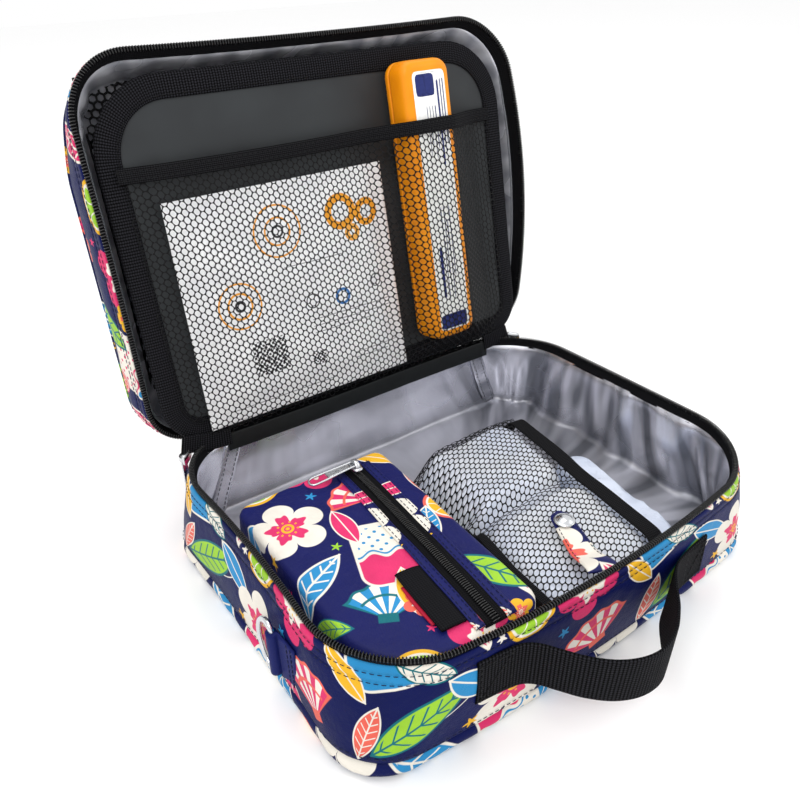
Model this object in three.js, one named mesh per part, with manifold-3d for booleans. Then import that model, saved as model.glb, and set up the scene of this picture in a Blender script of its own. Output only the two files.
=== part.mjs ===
// Soft insulated carrying case for insulin, standing open: a zipped base tub and lid, a hinged divider
// with a net pocket, a zipped inner pouch, a net over cooling packs, webbing handle and D-rings.
// Millimetres, +Z up. Origin: middle of the base's bottom face. +X runs along the hinge, the hinge is at +Y,
// the wall with the handle faces -Y.
import * as THREE from 'three';
import { mergeVertices } from 'three/addons/utils/BufferGeometryUtils.js';
import Module from 'manifold-3d';

const wasm = await Module();
wasm.setup();

// ---- driving dimensions ----
const W = 268;                 // width along the hinge
const D = 201;                 // depth, front to back
const R_FRONT = 46;            // plan corner radius away from the hinge
const R_BACK = 48;             // plan corner radius at the hinge
const BOW_BASE = 12;           // how far the front wall of the base bulges
const BOW_LID = 7;
const SIDE_IN = 4;              // how far the left wall of the base is drawn in at its middle
const RIM_Z = 61;              // height of the base rim
const LID_DEPTH = 33;
const LID_OPEN_DEG = 98.5;     // lid as it stands, 0 = closed
const DIV_OPEN_DEG = 101;      // divider as it stands, 0 = flat over the base
const HINGE_Y = D / 2;
const DIV_PIVOT = [0, 92.6, 66];
const HINGE_HALF = 84;         // half length of the sewn hinge
const FABRIC = 1.0;
const GAP = 0.3;

const root = new THREE.Group();

// ---- helpers ----
const mats = {
  print: [0x2c3468, 0.55, 0], foil: [0xa9adb2, 0.28, 0.6], foam: [0xe9e9e6, 0.9, 0], black: [0x18181a, 0.8, 0],
  coil: [0x101012, 0.45, 0], board: [0x45474a, 0.55, 0], net: [0x141416, 0.7, 0], steel: [0xc8cacc, 0.25, 1],
  orange: [0xf08a1c, 0.35, 0], label: [0xf3f3f0, 0.5, 0], packet: [0xf1f1f1, 0.45, 0], gel: [0xdfe4ee, 0.3, 0],
};
function mat(k) {
  const [c, r, m] = mats[k];
  return new THREE.MeshStandardMaterial({ color: c, roughness: r, metalness: m });
}
function toManifold(g) {
  let b = g.index ? g.toNonIndexed() : g.clone();
  b.deleteAttribute('normal'); b.deleteAttribute('uv');
  b = mergeVertices(b, 1e-4);
  return new wasm.Manifold(new wasm.Mesh({ numProp: 3, vertProperties: new Float32Array(b.attributes.position.array), triVerts: new Uint32Array(b.index.array) }));
}
function fromManifold(m) {
  const k = m.getMesh();
  const g = new THREE.BufferGeometry();
  const n = k.numProp; const count = k.vertProperties.length / n;
  const p = new Float32Array(count * 3);
  for (let i = 0; i < count; i++) for (let j = 0; j < 3; j++) p[3 * i + j] = k.vertProperties[n * i + j];
  g.setAttribute('position', new THREE.BufferAttribute(p, 3));
  g.setIndex(new THREE.BufferAttribute(new Uint32Array(k.triVerts), 1));
  g.computeVertexNormals();
  return g;
}
const cut = (a, ...bs) => fromManifold(bs.reduce((m, b) => m.subtract(toManifold(b)), toManifold(a)));
const join = (a, ...bs) => fromManifold(bs.reduce((m, b) => m.add(toManifold(b)), toManifold(a)));
function put(group, name, geo, key) {
  const m = new THREE.Mesh(geo, mat(key));
  m.name = name;
  group.add(m);
  return m;
}
function box(x0, x1, y0, y1, z0, z1) {
  const g = new THREE.BoxGeometry(x1 - x0, y1 - y0, z1 - z0);
  g.translate((x0 + x1) / 2, (y0 + y1) / 2, (z0 + z1) / 2);
  return g;
}
// rounded rectangle with bulging front, as plan points (anticlockwise)
function planPoints(inset, bow, o = {}) {
  const w = o.w ?? W, d = o.d ?? D, rf = (o.rf ?? R_FRONT) - inset, rb = (o.rb ?? R_BACK) - inset;
  const seg = o.seg ?? 6, side = o.side ?? 6;
  const hw = w / 2 - inset, hd = d / 2 - inset, pts = [];
  const arc = (cx, cy, a0, r) => { for (let i = 0; i < seg; i++) { const a = a0 + (i / seg) * Math.PI / 2; pts.push([cx + r * Math.cos(a), cy + r * Math.sin(a)]); } };
  const line = (ax, ay, bx, by, n) => { for (let i = 0; i < n; i++) { const t = i / n; pts.push([ax + (bx - ax) * t, ay + (by - ay) * t]); } };
  arc(hw - rb, hd - rb, 0, rb); line(hw - rb, hd, -hw + rb, hd, 1);
  arc(-hw + rb, hd - rb, Math.PI / 2, rb); line(-hw, hd - rb, -hw, -hd + rf, o.left ?? 1);
  arc(-hw + rf, -hd + rf, Math.PI, rf); line(-hw + rf, -hd, hw - rf, -hd, side);
  arc(hw - rf, -hd + rf, 1.5 * Math.PI, rf); line(hw, -hd + rf, hw, hd - rb, 1);
  return pts.map(([x, y]) => {
    const u = Math.min(1, Math.abs(x) / (w / 2)), v = -y / (d / 2);
    const k = v > 0 ? Math.pow(v, 3) * (1 - u * u) : 0;
    const inX = x < 0 ? (o.sideIn ?? 0) * (1 - v * v) * u * u * u : 0;
    return new THREE.Vector2(x + inX, y - bow * k);
  });
}
function slab(pts, z0, z1, holes = [], bevel = 0, bevelSeg = 2) {
  const s = new THREE.Shape(pts);
  for (const h of holes) s.holes.push(new THREE.Path(h.slice().reverse()));
  const o = bevel > 0
    ? { depth: z1 - z0 - 2 * bevel, bevelEnabled: true, bevelSize: bevel, bevelOffset: -bevel, bevelThickness: bevel, bevelSegments: bevelSeg, steps: 1 }
    : { depth: z1 - z0, bevelEnabled: false, steps: 1 };
  const g = new THREE.ExtrudeGeometry(s, o);
  g.translate(0, 0, z0 + bevel);
  return g;
}
const IN = { sideIn: SIDE_IN, left: 6 };
function ring(i0, i1, z0, z1, bow, o) { return slab(planPoints(i0, bow, o), z0, z1, [planPoints(i1, bow, o)]); }
// rounded rectangle block: pillows, boxes
function rrect(x0, x1, y0, y1, r, seg = 4) {
  const p = [];
  const rr = Array.isArray(r) ? r : [r, r, r, r]; // +x+y, -x+y, -x-y, +x-y
  const c = [[x1 - rr[0], y1 - rr[0], 0, rr[0]], [x0 + rr[1], y1 - rr[1], 1, rr[1]], [x0 + rr[2], y0 + rr[2], 2, rr[2]], [x1 - rr[3], y0 + rr[3], 3, rr[3]]];
  for (const [cx, cy, q, R] of c) for (let i = 0; i <= seg; i++) { const a = (q + i / seg) * Math.PI / 2; p.push(new THREE.Vector2(cx + R * Math.cos(a), cy + R * Math.sin(a))); }
  return p;
}
function cyl(r, h, seg = 16) { return new THREE.CylinderGeometry(r, r, h, seg, 1); }
function cylX(r, x0, x1, y, z, seg = 8) { const g = cyl(r, x1 - x0, seg); g.rotateZ(Math.PI / 2); g.translate((x0 + x1) / 2, y, z); return g; }
function cylY(r, y0, y1, x, z, seg = 8) { const g = cyl(r, y1 - y0, seg); g.translate(x, (y0 + y1) / 2, z); return g; }
function cylZ(r, z0, z1, x, y, seg = 16) { const g = cyl(r, z1 - z0, seg); g.rotateX(Math.PI / 2); g.translate(x, y, (z0 + z1) / 2); return g; }

// ---- base tub ----
const base = new THREE.Group();
root.add(base);
put(base, 'base_bottom_panel', slab(planPoints(0, BOW_BASE, IN), 0, 2.8, [], 1.2, 1), 'print');
put(base, 'base_lower_band', ring(0, FABRIC, 3.1, 9.0, BOW_BASE, IN), 'print');
put(base, 'base_outer_fabric', ring(0, FABRIC, 9.3, 57.6, BOW_BASE, IN), 'print');
put(base, 'base_foam_floor', slab(planPoints(1.6, BOW_BASE, IN), 3.1, 5.7), 'foam');
put(base, 'base_foam_wall', ring(1.5, 5.0, 6.0, 52.0, BOW_BASE, IN), 'foam');
put(base, 'base_lining', cut(slab(planPoints(5.3, BOW_BASE, IN), 6.0, 55.0), slab(planPoints(6.0, BOW_BASE, IN), 6.7, 70)), 'foil');
const backGap = box(-HINGE_HALF, HINGE_HALF, 70, 130, -20, 80);
put(base, 'base_zip_tape', ring(1.3, 2.5, 52.3, 58.4, BOW_BASE, IN), 'black');
put(base, 'base_zip_coil', cut(ring(0.5, 3.1, 58.7, 60.7, BOW_BASE, IN), backGap), 'coil');
put(base, 'lining_seam_tape_left', box(-86, -78, 93.3, 94.1, 9, 53.5), 'foil');
put(base, 'lining_seam_tape_right', box(78, 86, 93.3, 94.1, 9, 53.5), 'foil');
put(base, 'hinge_strip', cylX(1.5, -HINGE_HALF + 0.6, HINGE_HALF - 0.6, HINGE_Y, RIM_Z), 'black');
put(base, 'divider_spine_strip', box(-94, 98, 90.6, 91.8, 50, 61.0), 'black');

// ---- lid, drawn closed about its hinge line and then swung open ----
const lid = new THREE.Group();
lid.position.set(0, HINGE_Y, RIM_Z);
lid.rotation.x = -THREE.MathUtils.degToRad(LID_OPEN_DEG);
root.add(lid);
const L = (g) => { g.translate(0, -HINGE_Y - 0.6, 0); return g; };
put(lid, 'lid_zip_coil', L(cut(ring(0.5, 3.1, 0.5, 2.5, BOW_LID), backGap)), 'coil');
put(lid, 'lid_zip_tape', L(ring(1.3, 2.5, 2.8, 12.4, BOW_LID)), 'black');
put(lid, 'lid_outer_fabric', L(ring(0, FABRIC, 3.4, 27.0, BOW_LID)), 'print');
put(lid, 'lid_back_panel', L(cut(slab(planPoints(0, BOW_LID), 20, LID_DEPTH, [], 3, 2), box(-200, 200, -200, 200, 0, 27.3), slab(planPoints(1.2, BOW_LID), 20, 31.8))), 'print');
put(lid, 'lid_foam', L(cut(slab(planPoints(1.6, BOW_LID), 12.8, 31.4), slab(planPoints(4.4, BOW_LID), 5, 28.6))), 'foam');
put(lid, 'lid_lining', L(cut(slab(planPoints(4.7, BOW_LID), 12.8, 28.3), slab(planPoints(5.3, BOW_LID), 5, 27.7))), 'foil');
put(lid, 'lid_net_pocket', L(slab(rrect(-122, 122, -86, 78, 22), 26.6, 27.4)), 'net');
put(lid, 'lid_net_pocket_band', L(box(-98, 98, -91.8, -86.4, 26.4, 27.4)), 'black');

// ---- divider: local x along the hinge, y up the divider, z out of its front face ----
const div = new THREE.Group();
div.position.set(...DIV_PIVOT);
div.rotation.x = THREE.MathUtils.degToRad(180 - DIV_OPEN_DEG);
root.add(div);
const DIV_W = 254, DIV_TOP = 187.5, DIV_LOW = 2.2, BIND = 12.4;
const divPts = (i) => rrect(-DIV_W / 2 + i, DIV_W / 2 - i, DIV_LOW + i, DIV_TOP - i, [39 - i, 39 - i, 40 - i, 40 - i], 6);
const web = (x0, x1) => box(x0, x1, -0.8, 12, -4.7, -3.6);
put(div, 'divider_spine_flap', join(cylX(1.2, -102, 102, 0, 0), box(-100, -86, -0.8, 0.8, -4.7, 0), box(86, 100, -0.8, 0.8, -4.7, 0), web(-100, -86), web(86, 100), slab(rrect(-102, 102, 11.5, 47, [12, 12, 2, 2]), -4.7, -3.6)), 'board');
put(div, 'divider_board', slab(divPts(1.5), -2.4, -0.8), 'board');
put(div, 'divider_binding', cut(slab(divPts(0), -3.2, 0, [divPts(BIND)]), slab(divPts(1.2), -2.7, -0.5)), 'black');
function pocket(s0, s1, t, off, sLow, sHigh) {
  const outer = join(box(-111.5, 111.5, s0, s1, off, 6.4 + t), box(39 - t, 79.4 + t, s0, s1, off, 22.8 + t));
  return cut(outer, box(-110.7, 110.7, sLow, sHigh, -5, 6.4), box(39, 79.4, sLow, sHigh, -5, 22.8));
}
put(div, 'divider_net_pocket', pocket(6.5, 138.6, 0.8, 0.4, 7.3, 150), 'net');
put(div, 'divider_elastic_band', pocket(139.0, 146.0, 1.4, 0.4, 130, 160), 'black');
// kit box in the pocket: two trays that meet at the middle
const KX0 = 42.8, KX1 = 75.6, KS0 = 14.4, KS1 = 177.2, KN0 = 0.9, KN1 = 21.4, KMID = 7.2;
const kitLow = cut(slab(rrect(KX0, KX1, KS0, KS1, 8), KN0, KN0 + 16, [], 2.4, 2), box(0, 120, -50, 250, KMID - 0.15, 60), slab(rrect(KX0 + 1.8, KX1 - 1.8, KS0 + 1.8, KS1 - 1.8, 6.2), KN0 + 1.8, 60));
const kitTop = cut(slab(rrect(KX0, KX1, KS0, KS1, 8), KN1 - 20, KN1, [], 3.2, 3), box(0, 120, -50, 250, -60, KMID + 0.15), slab(rrect(KX0 + 1.8, KX1 - 1.8, KS0 + 1.8, KS1 - 1.8, 6.2), -60, KN1 - 1.8));
put(div, 'kit_box_base', kitLow, 'orange');
put(div, 'kit_box_cover', kitTop, 'orange');
put(div, 'kit_box_label', box(48, 70.2, 19.6, 170.8, KN1 + 0.2, KN1 + 0.5), 'label');
put(div, 'supply_packet', slab(rrect(-102, 31, 7.8, 127, 2, 2), 0.7, 4.2, [], 1.2, 1), 'packet');

// ---- zipped inner pouch ----
// its right side runs slightly askew, like its zipper
const askew = (x, y) => x - Math.max(0, (x + 72) / 44.5) * ((38 - y) / 137) * 7.5;
put(base, 'pouch_body', slab(rrect(-117, -27.5, -99, 38, [9, 7, 36, 8], 6).map((p) => new THREE.Vector2(askew(p.x, p.y), p.y)), 7.2, 54, [], 4, 2), 'print');
const ZIP_TURN = THREE.MathUtils.degToRad(4.4);
const pz = new THREE.Group();
pz.position.set(-56.2, -39, 0);
pz.rotation.z = -ZIP_TURN;
base.add(pz);
put(pz, 'pouch_welt_left', box(-10.4, -5.8, -57, 68, 54.3, 55.1), 'print');
put(pz, 'pouch_welt_right', box(5.8, 11.0, -57, 68, 54.3, 55.1), 'print');
put(pz, 'pouch_zip_tape', box(-5.5, 5.5, -57.5, 70, 54.3, 55.1), 'black');
put(pz, 'pouch_zip_coil', slab(rrect(-1.8, 1.8, -57, 69.5, 1, 1), 55.4, 57.0), 'coil');
put(pz, 'pouch_label', box(-23.6, -12.8, -54, -17.4, 54.3, 55.4), 'black');

// zip slider with a bridge; its pull hangs from a bar inside the bridge.
// local: x out of the tape, y along the zip, z up; the bar's centre is at (3.2, 0, 0)
function sliderGeo(halfY, halfZ) {
  return cut(join(box(0, 2.1, -halfY, halfY, -halfZ, halfZ), box(1.9, 5.3, -1.2, 1.2, -2.6, 2.6)), box(2.1, 4.3, -5, 5, -1.4, 1.4));
}
function pullGeo(len, w) {
  const plate = slab(rrect(-w / 2, w / 2, -len, -4.2, [1, 1, w * 0.42, w * 0.42], 3), -0.6, 0.6);
  // drawn in x (width) and y (length): turned so that width is y and length is z
  plate.applyMatrix4(new THREE.Matrix4().makeBasis(new THREE.Vector3(0, 1, 0), new THREE.Vector3(0, 0, 1), new THREE.Vector3(1, 0, 0)));
  plate.translate(3.2, 0, 0);
  const g = join(cylY(0.7, -2.7, 2.7, 3.2, 0, 8), box(2.6, 3.8, 1.5, 2.7, -5.5, 0), box(2.6, 3.8, -2.7, -1.5, -5.5, 0), plate);
  return cut(g, box(0, 6, -w / 2 + 1.8, w / 2 - 1.8, -10.5, -6.4));
}
function placed(parent, x, y, z, basis) {
  const g = new THREE.Group();
  const m = new THREE.Matrix4().makeBasis(...basis);
  m.setPosition(x, y, z);
  m.decompose(g.position, g.quaternion, g.scale);
  parent.add(g);
  return g;
}
const V = (x, y, z) => new THREE.Vector3(x, y, z);
// inner pouch slider: out of the tape = +Z, pull towards the left
const zipX = Math.sin(ZIP_TURN), zipY = Math.cos(ZIP_TURN);
const ps = placed(base, -56.2 + 64 * zipX, -39 + 64 * zipY, 57.3, [V(0, 0, 1), V(zipX, zipY, 0), V(-zipY, zipX, 0)]);
put(ps, 'pouch_zip_slider', sliderGeo(5.2, 4.0), 'steel');
const PULL_DROOP = THREE.MathUtils.degToRad(5); // the pull lies over until its end meets the pouch
const pp = pullGeo(28, 7.4);
pp.applyMatrix4(new THREE.Matrix4().makeRotationX(Math.PI)); // pull points along local +z, which is -X
pp.translate(-3.2, 0, 0);
pp.applyMatrix4(new THREE.Matrix4().makeRotationY(-PULL_DROOP));
pp.translate(3.2, 0, 0);
put(ps, 'pouch_zip_pull', pp, 'steel');
// main zip sliders at the two hinge corners
const cornerY = D / 2 - R_BACK;
for (const [side, sx] of [['left', -1], ['right', 1]]) {
  const a = sx < 0 ? (3 * Math.PI) / 4 : Math.PI / 4;
  const c = Math.cos(a), s = Math.sin(a), r = R_BACK + 0.35;
  const g = placed(base, sx * (W / 2 - R_BACK) + r * c, cornerY + r * s, 59.6, [V(c, s, 0), V(-s, c, 0), V(0, 0, 1)]);
  put(g, `main_zip_slider_${side}`, sliderGeo(4.6, 3.9), 'steel');
  put(g, `main_zip_pull_${side}`, pullGeo(24, 6.6), 'steel');
}

// ---- net over the cooling packs ----
const NET_Y0 = -95.5, NET_Y1 = 37, NET_TOP = 41;
const netL = (y) => -21 + (7 * (y - NET_Y0)) / (NET_Y1 - NET_Y0);
const netR = (y) => 53.5 + (18.5 * (y - NET_Y0)) / (NET_Y1 - NET_Y0);
// rounded block between two slanted side lines
function slanted(inset, y0, y1, r, left = netL, right = netR, wide = 80) {
  return rrect(0, wide, y0, y1, r).map((p) => new THREE.Vector2(left(p.y) + inset + ((right(p.y) - left(p.y) - 2 * inset) * p.x) / wide, p.y));
}
put(base, 'pack_net', cut(slab(slanted(0, NET_Y0, NET_Y1, 16), 7.2, NET_TOP, [], 4, 2), slab(slanted(1, NET_Y0 + 1, NET_Y1 - 1, 15), 0, NET_TOP - 1, [], 3, 2)), 'net');
const strip = (edge, a, b, y0, y1, z0, z1) => slab([new THREE.Vector2(edge(y0) + a, y0), new THREE.Vector2(edge(y0) + b, y0), new THREE.Vector2(edge(y1) + b, y1), new THREE.Vector2(edge(y1) + a, y1)], z0, z1);
put(base, 'pack_net_binding', strip(netL, 0, 4, -86, 26, 41.3, 42.1), 'black');
put(base, 'pack_net_band', strip(netR, -9, 0, -88, 28, 41.3, 42.2), 'black');
put(base, 'gel_pack_front', slab(slanted(2.4, NET_Y0 + 2.4, -30.5, 15), 7.2, 38.8, [], 7, 3), 'gel');
put(base, 'gel_pack_back', slab(slanted(2.4, -29.5, NET_Y1 - 2.4, 15), 7.2, 38.8, [], 7, 3), 'gel');
put(base, 'gel_pack_side', slab(slanted(0, -92, -12, 10, (y) => netR(y) + 2, (y) => netR(y) + 27, 25), 7.2, 31, [], 5, 3), 'gel');

// ---- snap strap from the front wall over the net ----
const S0 = [2.5, -97.5], S1 = [20.5, -56];
const sl = Math.hypot(S1[0] - S0[0], S1[1] - S0[1]);
const sd = V((S1[0] - S0[0]) / sl, (S1[1] - S0[1]) / sl, 0);
const strapG = placed(base, S0[0], S0[1], 45.1, [V(sd.y, -sd.x, 0), sd, V(0, 0, 1)]);
put(strapG, 'snap_strap', slab(rrect(-6.3, 6.3, 0, sl, [5, 5, 0.5, 0.5], 3), -0.5, 0.5), 'print');
const cap = new THREE.LatheGeometry([[0, 0.8], [5.0, 0.8], [5.4, 1.2], [4.7, 2.1], [2.7, 2.7], [0, 2.9]].map(([x, y]) => new THREE.Vector2(x, y)), 20);
cap.rotateX(Math.PI / 2); cap.translate(0, sl - 9, 0);
put(strapG, 'snap_cap', cap, 'steel');
put(strapG, 'snap_socket', cylZ(4.6, -2.1, -0.8, 0, sl - 9, 16), 'steel');
put(strapG, 'snap_stud', cylZ(3.4, -3.7, -2.4, 0, sl - 9, 16), 'steel');

// ---- handle: two sewn ends and a loop of webbing ----
const HZ0 = 24, HZ1 = 48;
function ribbon(points, t, z0, z1, n) {
  const c = new THREE.CatmullRomCurve3(points.map(([x, y]) => V(x, y, 0)));
  const a = [], b = [];
  for (let i = 0; i <= n; i++) {
    const p = c.getPoint(i / n), q = c.getTangent(i / n);
    a.push(new THREE.Vector2(p.x - q.y * t / 2, p.y + q.x * t / 2));
    b.push(new THREE.Vector2(p.x + q.y * t / 2, p.y - q.x * t / 2));
  }
  const pts = [...a, ...b.reverse()];
  if (THREE.ShapeUtils.isClockWise(pts)) pts.reverse();
  return slab(pts, z0, z1);
}
const wallY = (x) => -D / 2 - BOW_BASE * (1 - (x / (W / 2)) ** 2) - 1.1;
put(base, 'handle_end_left', ribbon([[-79.5, wallY(-79.5)], [-72, wallY(-72)], [-66, wallY(-66) - 0.1], [-58, wallY(-58) - 1.0], [-53.6, -116.4], [-51, -121.4]], 1.5, HZ0, HZ1, 14), 'black');
put(base, 'handle_end_right', ribbon([[67, wallY(67)], [60, wallY(60)], [53, wallY(53) - 0.2], [45, wallY(45) - 1.2], [37, -117.4], [29.2, -121.4]], 1.5, HZ0, HZ1, 14), 'black');
put(base, 'handle_loop', ribbon([[-49.2, -123.2], [-43, -132.5], [-34, -140.5], [-22, -146], [-10, -146.6], [2, -141.6], [14, -132.8], [26.6, -123.2]], 1.5, HZ0, HZ1, 22), 'black');

// ---- D-rings on the end walls ----
const RY = -36, TZ0 = 12, TZ1 = 44, BAR0 = 8.6, BAR1 = 47.4;
for (const [side, sx, RX] of [['left', -1, 135.5], ['right', 1, 138.3]]) {
  const tab = cut(join(box(Math.min(sx * (RX - 3.9), sx * (RX - 1.7)), Math.max(sx * (RX - 3.9), sx * (RX - 1.7)), -51, -37, TZ0, TZ1), cylZ(3.6, TZ0, TZ1, sx * RX, RY, 16)), cylZ(1.9, TZ0 - 5, TZ1 + 5, sx * RX, RY, 12));
  put(base, `dring_tab_${side}`, tab, 'print');
  const pts = [];
  for (let i = 0; i <= 14; i++) { const a = Math.PI / 2 - (i / 14) * Math.PI; pts.push(V(sx * RX, RY + 19 * Math.cos(a), (BAR0 + BAR1) / 2 + ((BAR1 - BAR0) / 2) * Math.sin(a))); }
  const sec = []; for (let i = 0; i < 8; i++) sec.push(new THREE.Vector2(1.35 * Math.cos(i * Math.PI / 4), 1.35 * Math.sin(i * Math.PI / 4)));
  const arc = new THREE.ExtrudeGeometry(new THREE.Shape(sec), { steps: 14, bevelEnabled: false, extrudePath: new THREE.CatmullRomCurve3(pts) });
  put(base, `dring_${side}`, join(cylZ(1.35, BAR0 - 1.2, BAR1 + 1.2, sx * RX, RY, 12), arc), 'steel');
}

export default root;
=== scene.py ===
import bpy, bmesh, math, random
import numpy as np
from mathutils import Vector, Matrix, noise
from mathutils.bvhtree import BVHTree


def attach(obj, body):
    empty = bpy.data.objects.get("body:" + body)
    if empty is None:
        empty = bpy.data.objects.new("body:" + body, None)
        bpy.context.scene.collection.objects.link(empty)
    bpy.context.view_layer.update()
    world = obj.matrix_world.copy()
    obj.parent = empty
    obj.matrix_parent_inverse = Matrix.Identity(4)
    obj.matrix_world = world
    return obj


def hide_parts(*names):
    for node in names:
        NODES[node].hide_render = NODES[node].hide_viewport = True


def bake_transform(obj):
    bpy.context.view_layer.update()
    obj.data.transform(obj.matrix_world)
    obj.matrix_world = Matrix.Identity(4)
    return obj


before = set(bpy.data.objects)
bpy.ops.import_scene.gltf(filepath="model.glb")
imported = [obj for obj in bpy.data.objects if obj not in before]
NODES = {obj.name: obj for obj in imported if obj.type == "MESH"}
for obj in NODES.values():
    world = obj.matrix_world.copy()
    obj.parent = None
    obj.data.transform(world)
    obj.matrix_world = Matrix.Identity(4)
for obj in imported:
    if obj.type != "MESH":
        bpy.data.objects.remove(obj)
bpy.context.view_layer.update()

random.seed(7)
rng = np.random.default_rng(7)
MM = 0.001

# ------------------------------------------------------------------ camera, lights, floor
cam_data = bpy.data.cameras.new("camera")
cam = bpy.data.objects.new("camera", cam_data)
bpy.context.scene.collection.objects.link(cam)
cam_data.sensor_width = 36.0
cam_data.lens = 771.93 * 36.0 / 800.0
cam_data.clip_start = 0.01
cam_data.clip_end = 60
_right = Vector((0.81250422, -0.58249307, -0.02321015))
_down = Vector((-0.31413737, -0.40394793, -0.85915295))
_fwd = Vector((0.49107495, 0.70535657, -0.51119224))
_m = Matrix.Identity(4)
for i in range(3):
    _m[i][0] = _right[i]
    _m[i][1] = -_down[i]
    _m[i][2] = -_fwd[i]
    _m[i][3] = (-0.22418376, -0.26727828, 0.30048213)[i]
cam.matrix_world = _m
bpy.context.scene.camera = cam

scn = bpy.context.scene
scn.view_settings.view_transform = "Standard"
scn.view_settings.look = "None"
scn.view_settings.exposure = 0.0

# ------------------------------------------------------------------ colour helpers


def lin(h):
    """sRGB hex string to linear rgb."""
    h = h.lstrip("#")
    out = []
    for i in (0, 2, 4):
        c = int(h[i:i + 2], 16) / 255
        out.append(c / 12.92 if c <= 0.04045 else ((c + 0.055) / 1.055) ** 2.4)
    return tuple(out)


# ------------------------------------------------------------------ node expressions
class Mat:
    """A procedural material, with arithmetic on sockets."""

    def __init__(self, name):
        self.mat = bpy.data.materials.new(name)
        self.mat.use_nodes = True
        self.nt = self.mat.node_tree
        self.nt.nodes.clear()
        self.out = self.nt.nodes.new("ShaderNodeOutputMaterial")
        self.b = self.nt.nodes.new("ShaderNodeBsdfPrincipled")
        self.nt.links.new(self.b.outputs[0], self.out.inputs[0])

    def set(self, **kw):
        for k, v in kw.items():
            s = self.b.inputs[k.replace("_", " ")]
            if isinstance(v, E):
                self.nt.links.new(v.s, s)
            elif isinstance(v, tuple) and len(v) == 3:
                s.default_value = (*v, 1.0)
            else:
                s.default_value = v
        return self

    def node(self, kind, inputs=None, **attrs):
        n = self.nt.nodes.new(kind)
        for k, v in attrs.items():
            setattr(n, k, v)
        for k, v in (inputs or {}).items():
            s = n.inputs[k]
            if isinstance(v, E):
                self.nt.links.new(v.s, s)
            elif v is not None:
                if isinstance(v, tuple) and len(v) == 3 and len(getattr(s, "default_value", ())) == 4:
                    v = (*v, 1.0)
                s.default_value = v
        return n

    def math(self, op, a, b=None, c=None, clamp=False):
        n = self.nt.nodes.new("ShaderNodeMath")
        n.operation = op
        n.use_clamp = clamp
        for i, v in enumerate((a, b, c)):
            if v is None:
                continue
            if isinstance(v, E):
                self.nt.links.new(v.s, n.inputs[i])
            else:
                n.inputs[i].default_value = float(v)
        return E(self, n.outputs[0])

    def uv(self):
        n = self.node("ShaderNodeUVMap", uv_map="UVMap")
        s = self.node("ShaderNodeSeparateXYZ", {0: E(self, n.outputs[0])})
        return E(self, s.outputs[0]), E(self, s.outputs[1])

    def obj(self):
        n = self.node("ShaderNodeTexCoord")
        return E(self, n.outputs["Object"])

    def vec(self, x, y, z=0.0):
        return E(self, self.node("ShaderNodeCombineXYZ", {0: x, 1: y, 2: z}).outputs[0])

    def noise(self, v, scale, detail=2.0, rough=0.5, distortion=0.0, out="Fac"):
        n = self.node("ShaderNodeTexNoise", {"Vector": v, "Scale": scale, "Detail": detail, "Roughness": rough, "Distortion": distortion})
        return E(self, n.outputs[out])

    def voronoi(self, v, scale, feature="F1", out="Distance"):
        n = self.node("ShaderNodeTexVoronoi", {"Vector": v, "Scale": scale}, feature=feature)
        return E(self, n.outputs[out])

    def ramp(self, f, a, b, lo=0.0, hi=1.0, smooth=False):
        n = self.node("ShaderNodeMapRange", {"Value": f, "From Min": a, "From Max": b, "To Min": lo, "To Max": hi}, interpolation_type="SMOOTHSTEP" if smooth else "LINEAR")
        return E(self, n.outputs[0])

    def mix(self, f, a, b):
        n = self.node("ShaderNodeMix", data_type="RGBA")
        for i, v in ((0, f), (6, a), (7, b)):
            s = n.inputs[i]
            if isinstance(v, E):
                self.nt.links.new(v.s, s)
            elif isinstance(v, tuple):
                s.default_value = (*v, 1.0)
            else:
                s.default_value = v
        return E(self, n.outputs[2])

    def bump(self, height, strength, distance, normal=None):
        n = self.node("ShaderNodeBump", {"Height": height, "Strength": strength, "Distance": distance})
        if normal is not None:
            self.nt.links.new(normal.s, n.inputs["Normal"])
        return E(self, n.outputs[0])


class E:
    def __init__(self, m, s):
        self.m, self.s = m, s

    def __add__(self, o): return self.m.math("ADD", self, o)
    __radd__ = __add__
    def __sub__(self, o): return self.m.math("SUBTRACT", self, o)
    def __rsub__(self, o): return self.m.math("SUBTRACT", o, self)
    def __mul__(self, o): return self.m.math("MULTIPLY", self, o)
    __rmul__ = __mul__
    def __truediv__(self, o): return self.m.math("DIVIDE", self, o)
    def __neg__(self): return self.m.math("MULTIPLY", self, -1.0)
    def abs(self): return self.m.math("ABSOLUTE", self)
    def sin(self): return self.m.math("SINE", self)
    def cos(self): return self.m.math("COSINE", self)
    def sqrt(self): return self.m.math("SQRT", self)
    def max(self, o): return self.m.math("MAXIMUM", self, o)
    def min(self, o): return self.m.math("MINIMUM", self, o)
    def wrap(self, lo, hi): return self.m.math("WRAP", self, hi, lo)


def flat_socket_colour(name, colour, rough, **kw):
    m = Mat(name)
    m.set(Base_Color=colour, Roughness=rough, **kw)
    return m


# ------------------------------------------------------------------ the printed fabric
NAVY = lin("#13195a")
WHITE_ = lin("#f2ece0")
PINK = lin("#e0366f")
CORAL = lin("#ef6a5a")
LIME = lin("#9fd13a")
TEAL = lin("#14707a")
CYAN = lin("#2f8fc8")
YELLOW = lin("#f2b92e")


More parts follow.
